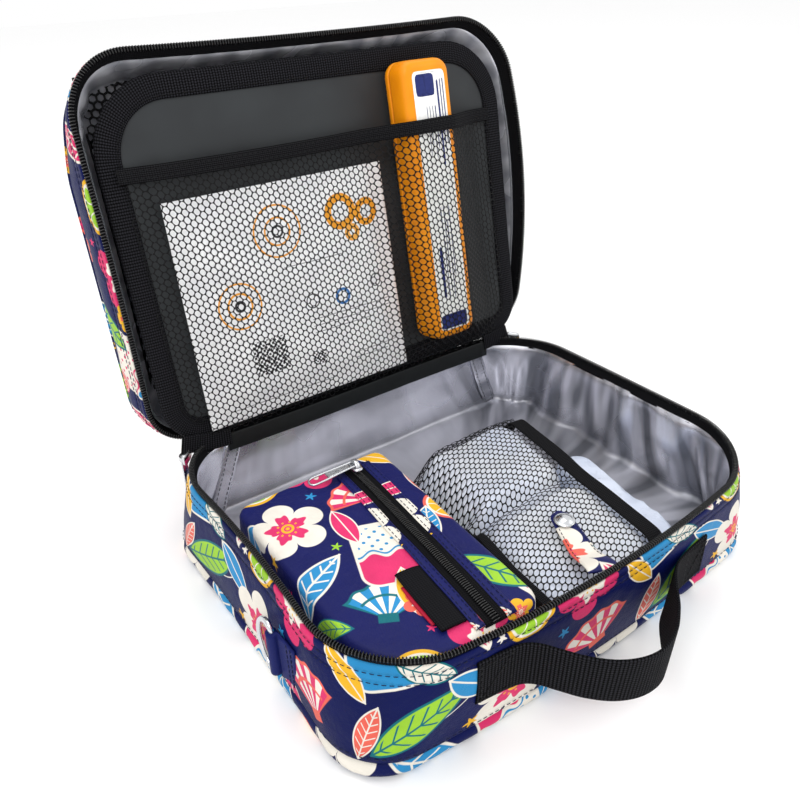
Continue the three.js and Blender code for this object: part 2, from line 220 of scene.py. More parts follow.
def printed(name, tile=150.0, shift=(0.0, 0.0), turn=0.0, ground=None, shade=1.0, spec=0.2):
    """Navy fabric with a generic repeating print of flowers, leaves, shells and fruit, drawn from distance fields on the UVs, which are in millimetres."""
    m = Mat(name)
    u0, v0 = m.uv()
    c, s = math.cos(turn), math.sin(turn)
    u = u0 * c - v0 * s + shift[0]
    v = u0 * s + v0 * c + shift[1]
    state = {"col": ground or NAVY}

    def paint(mask, colour):
        state["col"] = m.mix(mask, state["col"], colour)

    def edge(d, w=0.18):
        # signed distance (negative inside) to coverage
        return m.ramp(d, w, -w)

    def local(cx, cy, ang=0.0, sc=1.0):
        du = (u - cx).wrap(-tile / 2, tile / 2)
        dv = (v - cy).wrap(-tile / 2, tile / 2)
        ca, sa = math.cos(ang), math.sin(ang)
        x = (du * ca + dv * sa)
        y = (dv * ca - du * sa)
        if sc != 1.0:
            x, y = x * (1 / sc), y * (1 / sc)
        return x, y

    def length(x, y):
        return (x * x + y * y).sqrt()

    def polar(x, y):
        return length(x, y), m.math("ARCTAN2", y, x)

    def vesica(x, y, half_len, half_w):
        # leaf shape along x
        R = (half_len ** 2 + half_w ** 2) / (2 * half_w)
        off = R - half_w
        return length(x, y.abs() + off) - R

    def blossom(cx, cy, ang, sc, petal, inner, eye):
        x, y = local(cx, cy, ang, sc)
        r, a = polar(x, y)
        lobe = (a * 2.5).cos().abs()
        d = r - (lobe.sqrt() * 9.0 + 10.5)
        paint(edge(d), petal)
        vein = (a * 12.5).cos() * 0.9
        d2 = r - (lobe * 5.0 + 5.2 + vein)
        paint(edge(d2, 0.3), inner)
        paint(edge(r - 3.1), eye)
        paint(edge((r - 1.4).abs() - 0.45), inner)
        # dots round the eye
        dots = (a * 9.0).cos()
        paint(edge((r - 4.8).abs() - 0.55) * m.ramp(dots, 0.5, 0.8), eye)

    def leaf(cx, cy, ang, sc, fill, line, hl=24, hw=9.5, ribs=True):
        x, y = local(cx, cy, ang, sc)
        d = vesica(x, y, hl, hw)
        paint(edge(d), line)
        paint(edge(d + 1.2), fill)
        paint(edge((y.abs() - 0.55).max(x.abs() - hl)), line)
        if ribs:
            w = ((x - y.abs() * 0.9) * 0.95).sin()
            paint(edge(d + 2.2) * m.ramp(w, 0.78, 0.92), line)

    def slice_(cx, cy, sc, rind, pith, flesh):
        x, y = local(cx, cy, 0.3, sc)
        r, a = polar(x, y)
        paint(edge(r - 14.0), rind)
        paint(edge(r - 12.2), pith)
        seg = (a * 4.0).sin().abs() * r
        paint(edge(r - 11.0) * m.ramp(seg, 1.1, 1.6), flesh)

    def shell(cx, cy, ang, sc, a_, b_, rim):
        x, y = local(cx, cy, ang, sc)
        r, a = polar(x, y)
        fan = m.math("MAXIMUM", r - 21.0 - (a * 14.0).cos() * 0.6, (a - math.pi / 2).abs() * 14.0 - 14.5)
        paint(edge(fan), rim)
        fan2 = m.math("MAXIMUM", r - 19.6 - (a * 14.0).cos() * 0.6, (a - math.pi / 2).abs() * 14.0 - 13.4)
        paint(edge(fan2), a_)
        stripes = (a * 14.0).cos()
        paint(edge(fan2) * m.ramp(stripes, -0.05, 0.05), b_)
        paint(edge(fan2 + 1.0) * edge((r - 13.5).abs() - 0.7), rim)
        paint(edge((x.abs() - 4.2).max((y - 1.0).abs() - 2.4)), rim)

    def drop(cx, cy, ang, sc, fill, low, dots):
        # a rounded pebble with a coloured lower half and a wavy line between
        x, y = local(cx, cy, ang, sc)
        qx, qy = (x.abs() - 8.5).max(0.0), (y.abs() - 11.5).max(0.0)
        d = length(qx, qy) - 7.5
        paint(edge(d), fill)
        wave = y - (x * 0.55).sin() * 1.5 + 2.0
        paint(edge(d + 1.1) * edge(wave), low)
        paint(edge(d + 1.1) * edge((wave - 2.2).abs() - 0.55), dots)
        g = (x * 1.05).sin() * (y * 1.05).sin()
        paint(edge(d + 2.5) * edge(3.6 - wave) * m.ramp(g, 0.62, 0.72), dots)

    def loop(cx, cy, ang, sc, colour, R=11.0, w=0.45):
        x, y = local(cx, cy, ang, sc)
        d = (length(x, y * 1.9) - R).abs() - w
        paint(edge(d * 0.8), colour)

    def star(cx, cy, sc, colour):
        x, y = local(cx, cy, 0.2, sc)
        r, a = polar(x, y)
        paint(edge(r - ((a * 2.5).cos().abs() * -2.6 + 4.2)), colour)

    # thin loops first, then the large motifs
    loop(44, 30, 0.6, 1.3, WHITE_)
    loop(118, 96, -0.7, 1.2, WHITE_)
    loop(20, 122, 1.2, 1.2, WHITE_)
    leaf(30, 22, 0.62, 1.1, LIME, TEAL)
    leaf(54, 34, -0.5, 0.72, CYAN, WHITE_, ribs=False)
    blossom(78, 18, 0.2, 1.05, WHITE_, PINK, YELLOW)
    shell(124, 12, 0.35, 1.08, PINK, WHITE_, CORAL)
    drop(12, 62, 0.25, 1.12, WHITE_, CYAN, PINK)
    leaf(48, 72, 1.9, 1.05, PINK, WHITE_, hl=23, hw=7.5)
    slice_(78, 58, 1.0, YELLOW, WHITE_, LIME)
    blossom(112, 56, 0.8, 1.0, PINK, WHITE_, YELLOW)
    leaf(140, 86, -1.0, 1.05, LIME, TEAL, hl=22, hw=8.5)
    shell(84, 90, -0.5, 1.05, CYAN, WHITE_, TEAL)
    blossom(30, 110, 1.1, 1.08, WHITE_, CORAL, PINK)
    drop(110, 124, -0.35, 1.15, WHITE_, PINK, CYAN)
    slice_(4, 138, 0.9, CORAL, WHITE_, YELLOW)
    leaf(68, 128, 0.4, 1.02, CYAN, WHITE_, hl=22, hw=8.0)
    leaf(146, 44, 2.3, 0.6, YELLOW, WHITE_, ribs=False)
    leaf(101, 99, 1.2, 0.6, YELLOW, WHITE_, ribs=False)
    leaf(58, 104, 2.5, 0.62, LIME, TEAL)
    slice_(24, 84, 0.5, PINK, WHITE_, CORAL)
    leaf(134, 128, 1.0, 0.7, CYAN, WHITE_)
    blossom(101, 90, 0.5, 0.42, CORAL, WHITE_, YELLOW)
    leaf(101, 2, 1.5, 0.62, PINK, WHITE_, ribs=False)
    leaf(29, 49, -0.35, 0.6, WHITE_, TEAL)
    leaf(6, 18, 1.25, 0.66, CORAL, WHITE_)
    blossom(134, 60, 0.3, 0.4, YELLOW, CORAL, WHITE_)
    for sx, sy, ss, scol in ((60, 8, 0.9, YELLOW), (100, 34, 0.8, CYAN), (62, 52, 0.7, WHITE_), (132, 112, 0.8, YELLOW), (52, 142, 0.8, PINK), (90, 142, 0.7, LIME), (8, 90, 0.7, YELLOW), (96, 76, 0.6, PINK)):
        star(sx, sy, ss, scol)
    # woven ground: fine threads, small tonal drift
    wv = m.vec(u0, v0)
    drift = m.noise(wv, 0.05, 3.0)
    # a shade value below 1 dims every colour of the print: painted shade, used for the wall copy
    tone = m.ramp(drift, 0.3, 0.7, 0.88 * shade, 1.06 * shade)
    col = m.node("ShaderNodeMix", data_type="RGBA", blend_type="MULTIPLY")
    col.inputs[0].default_value = 1.0
    m.nt.links.new(state["col"].s, col.inputs[6])
    m.nt.links.new(m.node("ShaderNodeCombineXYZ", {0: tone, 1: tone, 2: tone}).outputs[0], col.inputs[7])
    weave = (u0 * 7.0).sin() * (v0 * 7.0).sin()
    bumpn = m.bump(weave, 0.18, 0.0004)
    crease = m.noise(wv, 0.11, 4.0, 0.55)
    bumpn = m.bump(crease, 0.35, 0.0022, bumpn)
    m.set(Base_Color=E(m, col.outputs[2]), Roughness=m.ramp(drift, 0.3, 0.7, 0.38, 0.5), Normal=bumpn)
    m.b.inputs["Specular IOR Level"].default_value = spec
    return m.mat


# ------------------------------------------------------------------ other materials
def foil(name, metal=0.85, lo="#8c8e9a", hi="#f2f2fc", floor_shade=0.0, scale=1.0):
    """Silver foil cloth, with painted fold shading and highlight between the colours lo and hi. A floor-shade amount
    above 0 also paints shade towards the floor of the case.
    """
    m = Mat(name)
    p = m.obj()
    sc = m.node("ShaderNodeVectorMath", {0: p, 1: (1000.0, 1000.0, 1000.0)}, operation="MULTIPLY")
    q = E(m, sc.outputs[0])
    u0, v0 = m.uv()
    big = m.noise(q, 0.028 * scale, 1.0, 0.4)
    fold_relief_and_shade = m.noise(m.vec(u0 * 0.075 + v0 * 0.016, v0 * 0.018), 1.0, 1.0, 0.4)
    grain = m.noise(q, 1.6, 2.0)
    n = m.bump(big, 0.25, 0.004)
    n = m.bump(fold_relief_and_shade, 0.3, 0.003, n)
    n = m.bump(grain, 0.03, 0.0002, n)
    # the fold pattern also sets the colour, lo in the troughs and hi on the faces: painted fold shading and highlight
    f = m.ramp(fold_relief_and_shade, 0.37, 0.59)
    if floor_shade:
        # painted fold shading is weaker on the back wall, which lies smoother than the right wall
        xx = E(m, m.node("ShaderNodeSeparateXYZ", {0: p}).outputs[0]) * 1000.0
        f = 1.0 - (1.0 - f) * m.ramp(xx, 55.0, 112.0, 0.15, 1.0)
    base = m.mix(f, lin(lo), lin(hi))
    if floor_shade:
        # painted shade towards the floor of the case: below about 30 mm the colour goes over to dark grey
        z = E(m, m.node("ShaderNodeSeparateXYZ", {0: p}).outputs[2]) * 1000.0
        base = m.mix(m.ramp(z + big * 12.0, 13.0, 30.0, floor_shade, 0.0), base, lin("#55575e"))
    rough = m.ramp(big, 0.3, 0.7, 0.23, 0.3)
    if floor_shade:
        rough = rough + m.ramp(z, 8.0, 13.0, 0.2, 0.0)
    m.set(Base_Color=base, Roughness=rough, Normal=n)
    m.b.inputs["Metallic"].default_value = metal
    return m.mat


def cloth_black(name, colour="#17171a", along=3.0, across=0.0, strength=0.5, depth=0.0005, rough=0.78):
    """Black webbing or tape. UVs in millimetres, u along the piece. along: rib frequency on u; across: on v."""
    m = Mat(name)
    u, v = m.uv()
    h = None
    if along:
        h = (u * along).sin().abs() * 0.8 + ((v * 5.0) + (u * along).sin() * 0.8).sin() * 0.25
    if across:
        g = (v * across).sin().abs() * 0.8 + ((u * 5.5) + (v * across).sin() * 0.6).sin() * 0.25
        h = g if h is None else h * 0.5 + g * 0.5
    fuzz = m.noise(m.vec(u, v), 1.3, 2.0)
    n = m.bump(h + fuzz * 0.5, strength, depth)
    base = m.mix(m.ramp(h, 0.3, 0.9), tuple(0.06 * c for c in lin(colour)), tuple(2.6 * c for c in lin(colour)))
    m.set(Base_Color=base, Roughness=rough, Normal=n)
    m.b.inputs["Specular IOR Level"].default_value = 0.06
    return m.mat


def smooth_black(name, colour="#141416", rough=0.5, bump=0.25, scale=0.5, spec=0.2):
    m = Mat(name)
    q = E(m, m.node("ShaderNodeVectorMath", {0: m.obj(), 1: (1000.0, 1000.0, 1000.0)}, operation="MULTIPLY").outputs[0])
    f = m.noise(q, scale, 3.0)
    m.set(Base_Color=m.mix(f, tuple(0.8 * c for c in lin(colour)), tuple(1.3 * c for c in lin(colour))), Roughness=m.ramp(f, 0.3, 0.7, rough - 0.06, rough + 0.06), Normal=m.bump(f, bump, 0.0003))
    m.b.inputs["Specular IOR Level"].default_value = spec
    return m.mat


def board_mat(name):
    m = Mat(name)
    q = E(m, m.node("ShaderNodeVectorMath", {0: m.obj(), 1: (1000.0, 1000.0, 1000.0)}, operation="MULTIPLY").outputs[0])
    f = m.noise(q, 2.2, 3.0)
    g = m.noise(q, 0.03, 2.0)
    base = m.mix(m.ramp(g, 0.3, 0.7), lin("#2c2e30"), lin("#343739"))
    m.set(Base_Color=base, Roughness=m.ramp(g, 0.3, 0.7, 0.46, 0.56), Normal=m.bump(f, 0.12, 0.0002))
    m.b.inputs["Specular IOR Level"].default_value = 0.22
    return m.mat


def orange_mat(name):
    m = Mat(name)
    q = E(m, m.node("ShaderNodeVectorMath", {0: m.obj(), 1: (1000.0, 1000.0, 1000.0)}, operation="MULTIPLY").outputs[0])
    f = m.noise(q, 1.4, 3.0)
    g = m.noise(q, 0.05, 2.0)
    m.set(Base_Color=m.mix(m.ramp(g, 0.3, 0.7), lin("#ee8c08"), lin("#f49a12")), Roughness=m.ramp(f, 0.3, 0.7, 0.32, 0.42), Normal=m.bump(f, 0.06, 0.0002))
    m.b.inputs["Specular IOR Level"].default_value = 0.25
    return m.mat


def film_mat(name, c0, c1, rough=0.28, wr=0.12, strength=0.4, depth=0.0012, alpha=None, coat=0.3):
    m = Mat(name)
    q = E(m, m.node("ShaderNodeVectorMath", {0: m.obj(), 1: (1000.0, 1000.0, 1000.0)}, operation="MULTIPLY").outputs[0])
    f = m.noise(q, wr, 4.0, 0.55, 0.6)
    g = m.noise(q, wr * 0.35, 2.0)
    n = m.bump(f, strength, depth)
    m.set(Base_Color=m.mix(m.ramp(g, 0.35, 0.65), lin(c0), lin(c1)), Roughness=m.ramp(f, 0.3, 0.7, rough - 0.06, rough + 0.08), Normal=n)
    m.b.inputs["Coat Weight"].default_value = coat
    m.b.inputs["Coat Roughness"].default_value = 0.12
    return m.mat


def packet_mat(name):
    """White film with an abstract print: rings, a field of squares and a few rules, placed in millimetres on the frame's x and z."""
    m = Mat(name)
    sep = m.node("ShaderNodeSeparateXYZ", {0: m.obj()})
    x = E(m, sep.outputs[0]) * 1000.0
    z = (E(m, sep.outputs[2]) * 1000.0 - 66.0) * (1 / 0.9816)
    q = E(m, m.node("ShaderNodeVectorMath", {0: m.obj(), 1: (1000.0, 1000.0, 1000.0)}, operation="MULTIPLY").outputs[0])
    f = m.noise(q, 0.05, 3.0, 0.5)
    col = m.mix(m.ramp(f, 0.35, 0.65), lin("#f1f1f3"), lin("#fbfbfb"))

    def ring(cx, cy, r, w, hexc):
        nonlocal col
        dx, dy = x - cx, z - cy
        d = ((dx * dx + dy * dy).sqrt() - r).abs() - w
        col = m.mix(m.ramp(d, 0.15, -0.15), col, lin(hexc))

    for cx, cy, r, w, h in ((-42, 101, 14.0, 0.5, "#f0a32c"), (-42, 101, 7.5, 0.5, "#f0a32c"), (-42, 101, 3.0, 0.6, "#2a2a2c"), (-72, 66, 12.5, 0.5, "#f0a32c"), (-72, 66, 7.0, 0.6, "#f0a32c"), (-72, 66, 2.6, 0.7, "#2a2a2c"), (-1, 104, 8.0, 2.2, "#efa024"), (16, 101, 6.0, 2.0, "#efa024"), (5, 91, 3.4, 1.6, "#f3b04a"), (-8, 56, 4.2, 0.8, "#2f6fb0"), (-28, 58, 4.0, 0.35, "#2a2a2c"), (16, 60, 3.6, 0.35, "#2a2a2c")):
        ring(cx, cy, r, w, h)
    for cx, cy, hw, hh, k in ((-60, 34, 10.5, 10.0, 2.1), (-30, 24, 4.5, 4.0, 2.8)):
        inside = m.ramp(((x - cx).abs() - hw).max((z - cy).abs() - hh), 0.2, -0.2)
        cell = (x * k).sin() * (z * k).sin() + m.noise(q, 0.7, 1.0) * 1.4 - 0.7
        col = m.mix(inside * m.ramp(cell, -0.05, 0.12), col, lin("#1c1c1e"))
    for cy, a_, b_ in ((47.0, -30, 24), (43.0, -30, 24), (39.0, -30, 10), (20.0, -6, 26), (16.5, -6, 18), (80.5, -42, -4), (8.5, -90, -20)):
        bar = m.ramp(((x - (a_ + b_) / 2).abs() - (b_ - a_) / 2).max((z - cy).abs() - 0.22), 0.1, -0.1)
        col = m.mix(bar * 0.8, col, lin("#3a3a3e"))
    n = m.bump(f, 0.3, 0.002)
    m.set(Base_Color=col, Roughness=m.ramp(f, 0.3, 0.7, 0.3, 0.42), Normal=n)
    # a faint glow: the film emits its own colour at strength 0.07, painted light that brightens the packet under the
    # net
    m.set(Emission_Color=col)
    m.b.inputs["Emission Strength"].default_value = 0.07
    m.b.inputs["Specular IOR Level"].default_value = 0.4
    return m.mat


def metal_mat(name, colour="#d3d5d8", rough=0.2):
    m = Mat(name)
    q = E(m, m.node("ShaderNodeVectorMath", {0: m.obj(), 1: (1000.0, 1000.0, 1000.0)}, operation="MULTIPLY").outputs[0])
    f = m.noise(q, 1.1, 4.0, 0.6)
    m.set(Base_Color=lin(colour), Roughness=m.ramp(f, 0.3, 0.7, rough - 0.05, rough + 0.09), Normal=m.bump(f, 0.05, 0.0002))
    m.b.inputs["Metallic"].default_value = 1.0
    return m.mat


MAT = {
    "print": printed("print_navy"),
    # a shaded copy of the print for the case and lid walls: darker navy ground and every colour dimmed to 0.86, painted
    # shade
    "print_wall_shaded": printed("print_navy_wall_shaded", ground=lin("#0d1650"), shade=0.86, spec=0.07),
    # lo and hi are the painted fold shadow and highlight colours; 0.6 is the strength of the painted floor shade
    "foil": foil("foil_silver", metal=0.82, lo="#90929a", hi="#f6f6ff", floor_shade=0.6),
    # a lighter copy of the foil for the lid lining, which lies in shade behind the divider: painted light, with lower
    # metallic
    "foil_lid_lit": foil("foil_silver_lid_lit", metal=0.45, lo="#b4b6c0", hi="#eeeef6"),
    "web": cloth_black("webbing_black", along=1.9, strength=0.8, depth=0.0007),
    "bind": cloth_black("binding_black", colour="#17171a", along=2.1, strength=0.7, depth=0.0005),
    "band": cloth_black("band_black", colour="#161618", along=0.0, across=3.4, strength=0.5),
    "tape": cloth_black("tape_black", colour="#111113", along=5.0, across=5.0, strength=0.3, depth=0.0002),
    "tag": cloth_black("tag_black", colour="#141417", along=6.0, across=6.0, strength=0.25, depth=0.0002, rough=0.6),
    "coil": smooth_black("coil_black", colour="#070708", rough=0.24, bump=0.1, spec=0.55),
    "net": smooth_black("net_black", colour="#0a0a0c", rough=0.5, bump=0.2, scale=1.5),
    "netgrey": smooth_black("net_dark", colour="#19191b", rough=0.55, bump=0.2, scale=1.5),
    "board": board_mat("board_grey"),
    "strip": smooth_black("strip_black", colour="#17191a", rough=0.42, bump=0.2, scale=0.2),
    "orange": orange_mat("kit_orange"),
    "label": smooth_black("label_white", colour="#efefec", rough=0.4, bump=0.05, spec=0.4),
    "labelnavy": smooth_black("label_navy", colour="#232c66", rough=0.4, bump=0.05),
    "packet": packet_mat("packet_white_glowing"),
    "gel": film_mat("gel_film", "#e6edff", "#f8faff", rough=0.25, wr=0.05, strength=0.55, depth=0.004, coat=0.3),
    # a darker copy of the gel film for the side pack, which lies in shade beside the net: painted shade
    "gel_side_shaded": film_mat("gel_film_side_shaded", "#b9c3da", "#d9e0f0", rough=0.3, wr=0.06, strength=0.7, depth=0.004, coat=0.2),
    "metal": metal_mat("bright_metal"),
    "thread": smooth_black("thread_navy", colour="#151937", rough=0.6, bump=0.3, scale=3.0),
    "threadblack": smooth_black("thread_black", colour="#0c0c0e", rough=0.6, bump=0.3, scale=3.0),
    "threadgrey2": smooth_black("thread_slate", colour="#54565c", rough=0.5, bump=0.3, scale=3.0),
    "threadgrey": smooth_black("thread_grey", colour="#8f9298", rough=0.5, bump=0.3, scale=3.0),
    "foam": smooth_black("foam_pale", colour="#d9d9d4", rough=0.9, bump=0.5, scale=1.0),
    "piping": smooth_black("piping_shiny", colour="#6a6d72", rough=0.2, bump=0.1, spec=0.6),
    "navy": smooth_black("navy_plain", colour="#161e58", rough=0.55, bump=0.4, scale=2.2, spec=0.1),
    "tagred": smooth_black("tag_red", colour="#a3122f", rough=0.5, bump=0.2, scale=2.0),
}

# ------------------------------------------------------------------ mesh helpers


def make(name, verts, faces, mat, body, uv=None, smooth=True, replaces=(), slot=None, ride=True, mats=None, fmat=None):
    """verts in millimetres. uv is one (u, v) pair per vertex."""
    me = bpy.data.meshes.new(name)
    me.from_pydata([tuple(float(c) * MM for c in p) for p in verts], [], [tuple(int(i) for i in f) for f in faces])
    if uv is not None:
        lay = me.uv_layers.new(name="UVMap")
        li = np.zeros(len(me.loops), np.int32)
        me.loops.foreach_get("vertex_index", li)
        lay.data.foreach_set("uv", np.asarray(uv, np.float32)[li].reshape(-1))
    me.polygons.foreach_set("use_smooth", [smooth] * len(me.polygons))
    for k in (mats or [mat]):
        me.materials.append(MAT[k])
    if fmat is not None:
        me.polygons.foreach_set("material_index", np.asarray(fmat, np.int32))
    me.update()
    o = bpy.data.objects.new(name, me)
    bpy.context.scene.collection.objects.link(o)
    if ride:
        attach(o, body)
    if replaces:
        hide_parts(*replaces)
    return o


def grid_faces(nu, nv, cu=False, cv=False, base=0, flip=False):
    out = []
    for i in range(nu if cu else nu - 1):
        for j in range(nv if cv else nv - 1):
            a = base + i * nv + j
            b = base + ((i + 1) % nu) * nv + j
            c = base + ((i + 1) % nu) * nv + (j + 1) % nv
            d = base + i * nv + (j + 1) % nv
            out.append((a, d, c, b) if flip else (a, b, c, d))
    return out


def outline(hw, hd, Rf, Rb, bl=0.0, br=0.0, bf=0.0, bb=0.0, n_arc=18, n_side=30, n_front=48):
    """Plan outline, anticlockwise from the right back corner, with every height sampled the same way."""
    pts = []

    def arc(cx, cy, a0, R):
        for t in np.linspace(0, math.pi / 2, n_arc, endpoint=False):
            pts.append((cx + R * math.cos(a0 + t), cy + R * math.sin(a0 + t)))

    def line(a, b, n):
        for t in np.linspace(0, 1, n, endpoint=False):
            pts.append((a[0] + (b[0] - a[0]) * t, a[1] + (b[1] - a[1]) * t))

    arc(hw - Rb, hd - Rb, 0, Rb); line((hw - Rb, hd), (-hw + Rb, hd), n_front)
    arc(-hw + Rb, hd - Rb, math.pi / 2, Rb); line((-hw, hd - Rb), (-hw, -hd + Rf), n_side)
    arc(-hw + Rf, -hd + Rf, math.pi, Rf); line((-hw + Rf, -hd), (hw - Rf, -hd), n_front)
    arc(hw - Rf, -hd + Rf, 1.5 * math.pi, Rf); line((hw, -hd + Rf), (hw, hd - Rb), n_side)
    P = np.array(pts)
    u, v = P[:, 0] / hw, P[:, 1] / hd
    wx, wy = np.clip(1 - v ** 2, 0, 1), np.clip(1 - u ** 2, 0, 1)
    Q = P.copy()
    Q[:, 0] += np.where(u < 0, -bl, br) * wx * np.abs(u) ** 3
    Q[:, 1] += np.where(v < 0, -bf, bb) * wy * np.abs(v) ** 3
    return Q


def inward(P, off):
    """Closed plan polyline moved inward by off (a number or one per point)."""
    t = np.roll(P, -1, 0) - np.roll(P, 1, 0)
    t /= np.linalg.norm(t, axis=1)[:, None]
    n = np.stack([-t[:, 1], t[:, 0]], 1)
    return P + n * (np.asarray(off).reshape(-1, 1) if np.ndim(off) else off)


def arclen(P, closed=True):
    d = np.linalg.norm(np.roll(P, -1, 0) - P, axis=1)
    return np.r_[0, np.cumsum(d)[:-1]] if closed else np.r_[0, np.cumsum(np.linalg.norm(P[1:] - P[:-1], axis=1))]


def resample(P, step, closed=True):
    """Evenly spaced points on a polyline (any dimension)."""
    Q = np.vstack([P, P[:1]]) if closed else P
    s = np.r_[0, np.cumsum(np.linalg.norm(Q[1:] - Q[:-1], axis=1))]
    n = max(2, int(round(s[-1] / step)))
    t = np.linspace(0, s[-1], n, endpoint=False) if closed else np.linspace(0, s[-1], n + 1)
    return np.stack([np.interp(t, s, Q[:, k]) for k in range(Q.shape[1])], 1), t


def nz(x, y, z=0.0):
    return noise.noise(Vector((x, y, z)))


def frames_along(P, up, closed):
    """Tangent, side and up vectors for each point of a 3-D polyline. up is one vector or one per point."""
    P = np.asarray(P, float)
    t = (np.roll(P, -1, 0) - np.roll(P, 1, 0)) if closed else np.gradient(P, axis=0)
    t /= np.linalg.norm(t, axis=1)[:, None]
    up = np.broadcast_to(np.asarray(up, float), P.shape)
    side = np.cross(t, up); side /= np.linalg.norm(side, axis=1)[:, None]
    upn = np.cross(side, t)
    return t, side, upn


def sweep(name, P, section, up, mat, body, closed=False, cap=True, smooth=True, scale=None, **kw):
    """Section points (side, up) in mm carried along P. UV: u along, v round the section."""
    P = np.asarray(P, float)
    t, side, upn = frames_along(P, up, closed)
    sec = np.asarray(section, float)
    m = len(sec)
    V, UVs = [], []
    sl = arclen(P, closed)
    pl = np.r_[0, np.cumsum(np.linalg.norm(np.diff(np.vstack([sec, sec[:1]]), axis=0), axis=1))[:-1]]
    for i in range(len(P)):
        k = 1.0 if scale is None else scale[i]
        for j in range(m):
            V.append(P[i] + side[i] * sec[j, 0] * k + upn[i] * sec[j, 1] * k)
            UVs.append((sl[i], pl[j]))
    F = grid_faces(len(P), m, closed, True)
    if cap and not closed:
        F.append(tuple(range(m)))
        F.append(tuple(reversed(range((len(P) - 1) * m, len(P) * m))))
    return make(name, V, F, mat, body, uv=UVs, smooth=smooth, **kw)


def round_section(w, h, r, n=3):
    """Rounded rectangle w x h as (side, up) points."""
    out = []
    for cx, cy, q in ((w / 2 - r, h / 2 - r, 0), (-w / 2 + r, h / 2 - r, 1), (-w / 2 + r, -h / 2 + r, 2), (w / 2 - r, -h / 2 + r, 3)):
        for i in range(n + 1):
            a = (q + i / n) * math.pi / 2
            out.append((cx + r * math.cos(a), cy + r * math.sin(a)))
    return out


def circle_section(r, n=8):
    return [(r * math.cos(2 * math.pi * i / n), r * math.sin(2 * math.pi * i / n)) for i in range(n)]


def stitches(name, P, up, mat, body, length=2.6, gap=1.0, r=0.28, closed=False, lift=0.15, **kw):
    """A row of sewn thread stitches lying on a path."""
    P = np.asarray(P, float)
    Q, s = resample(P, length + gap, closed)
    U = np.broadcast_to(np.asarray(up, float), P.shape)
    sP = np.r_[0, np.cumsum(np.linalg.norm(P[1:] - P[:-1], axis=1))]
    Uq = np.stack([np.interp(s, sP, U[:, k]) for k in range(3)], 1)
    t, side, upn = frames_along(Q, Uq, closed)
    V, F = [], []
    ring = [(math.cos(2 * math.pi * k / 5), math.sin(2 * math.pi * k / 5)) for k in range(5)]
    for i in range(len(Q)):
        b = len(V)
        for along, rr in ((-0.5, 0.35), (-0.36, 1.0), (0.36, 1.0), (0.5, 0.35)):
            c = Q[i] + t[i] * along * length + upn[i] * (lift - (0.12 if abs(along) > 0.4 else 0.0))
            for (cx, cy) in ring:
                V.append(c + side[i] * cx * r * rr + upn[i] * cy * r * rr)
        for k in range(3):
            for j in range(5):
                F.append((b + 5 * k + j, b + 5 * k + (j + 1) % 5, b + 5 * k + 5 + (j + 1) % 5, b + 5 * k + 5 + j))
        F.append(tuple(b + j for j in reversed(range(5))))
        F.append(tuple(b + 15 + j for j in range(5)))
    return make(name, V, F, mat, body, uv=None, **kw)


def coil_chain(name, P, up, mat, body, pitch=2.0, w=3.0, h=2.0, th=0.62, closed=False, out_sign=1.0, **kw):
    """Half of a coil zipper: a row of rounded teeth across the path. side = across the tape, up = away from the tape."""
    Q, s = resample(P, pitch, closed)
    U = np.broadcast_to(np.asarray(up, float), np.asarray(P).shape)
    PP = np.vstack([P, P[:1]]) if closed else np.asarray(P)
    UU = np.vstack([U, U[:1]]) if closed else U
    sP = np.r_[0, np.cumsum(np.linalg.norm(PP[1:] - PP[:-1], axis=1))]
    Uq = np.stack([np.interp(s, sP, UU[:, k]) for k in range(3)], 1)
    t, side, upn = frames_along(Q, Uq, closed)
    V, F = [], []
    # an arch across the tape
    arch = [(-w / 2, -h * 0.5), (-w / 2, h * 0.1), (-w * 0.36, h * 0.42), (-w * 0.12, h * 0.5), (w * 0.12, h * 0.5), (w * 0.36, h * 0.42), (w / 2, h * 0.1), (w / 2, -h * 0.5)]
    sec = 5
    for i in range(len(Q)):
        b = len(V)
        for k, (a, c) in enumerate(arch):
            p = Q[i] + side[i] * a + upn[i] * c
            d = np.array([arch[min(k + 1, 7)][0] - arch[max(k - 1, 0)][0], arch[min(k + 1, 7)][1] - arch[max(k - 1, 0)][1]])
            d /= np.linalg.norm(d)
            nrm = side[i] * -d[1] + upn[i] * d[0]
            slant = t[i] * (0.28 * a / w)
            for q in range(sec):
                an = 2 * math.pi * q / sec
                V.append(p + slant + t[i] * math.cos(an) * th + nrm * math.sin(an) * th * 0.85)
        for k in range(7):
            for q in range(sec):
                F.append((b + sec * k + q, b + sec * k + (q + 1) % sec, b + sec * (k + 1) + (q + 1) % sec, b + sec * (k + 1) + q))
        F.append(tuple(b + q for q in reversed(range(sec))))
        F.append(tuple(b + 7 * sec + q for q in range(sec)))
    return make(name, V, F, mat, body, uv=None, **kw)


def lattice(a1, a2, p, x0, x1, y0, y1):
    """Flat cloth coordinates for a net whose nearest holes lie at a1 and a2: the map, and the width and height that cover the cloth."""
    h = 0.8660254 * p
    M = np.array([[a1[0] / p, (a2[0] - a1[0] / 2) / h], [a1[1] / p, (a2[1] - a1[1] / 2) / h]])
    inv = np.linalg.inv(M)
    cs = np.array([inv @ np.array(c) for c in ((x0, y0), (x1, y0), (x1, y1), (x0, y1))])
    lo, hi = cs.min(0) - p, cs.max(0) + p
    return (lambda x, y: tuple(M @ np.array([x + lo[0], y + lo[1]]))), hi[0] - lo[0], hi[1] - lo[1], float(abs(np.linalg.det(M)))


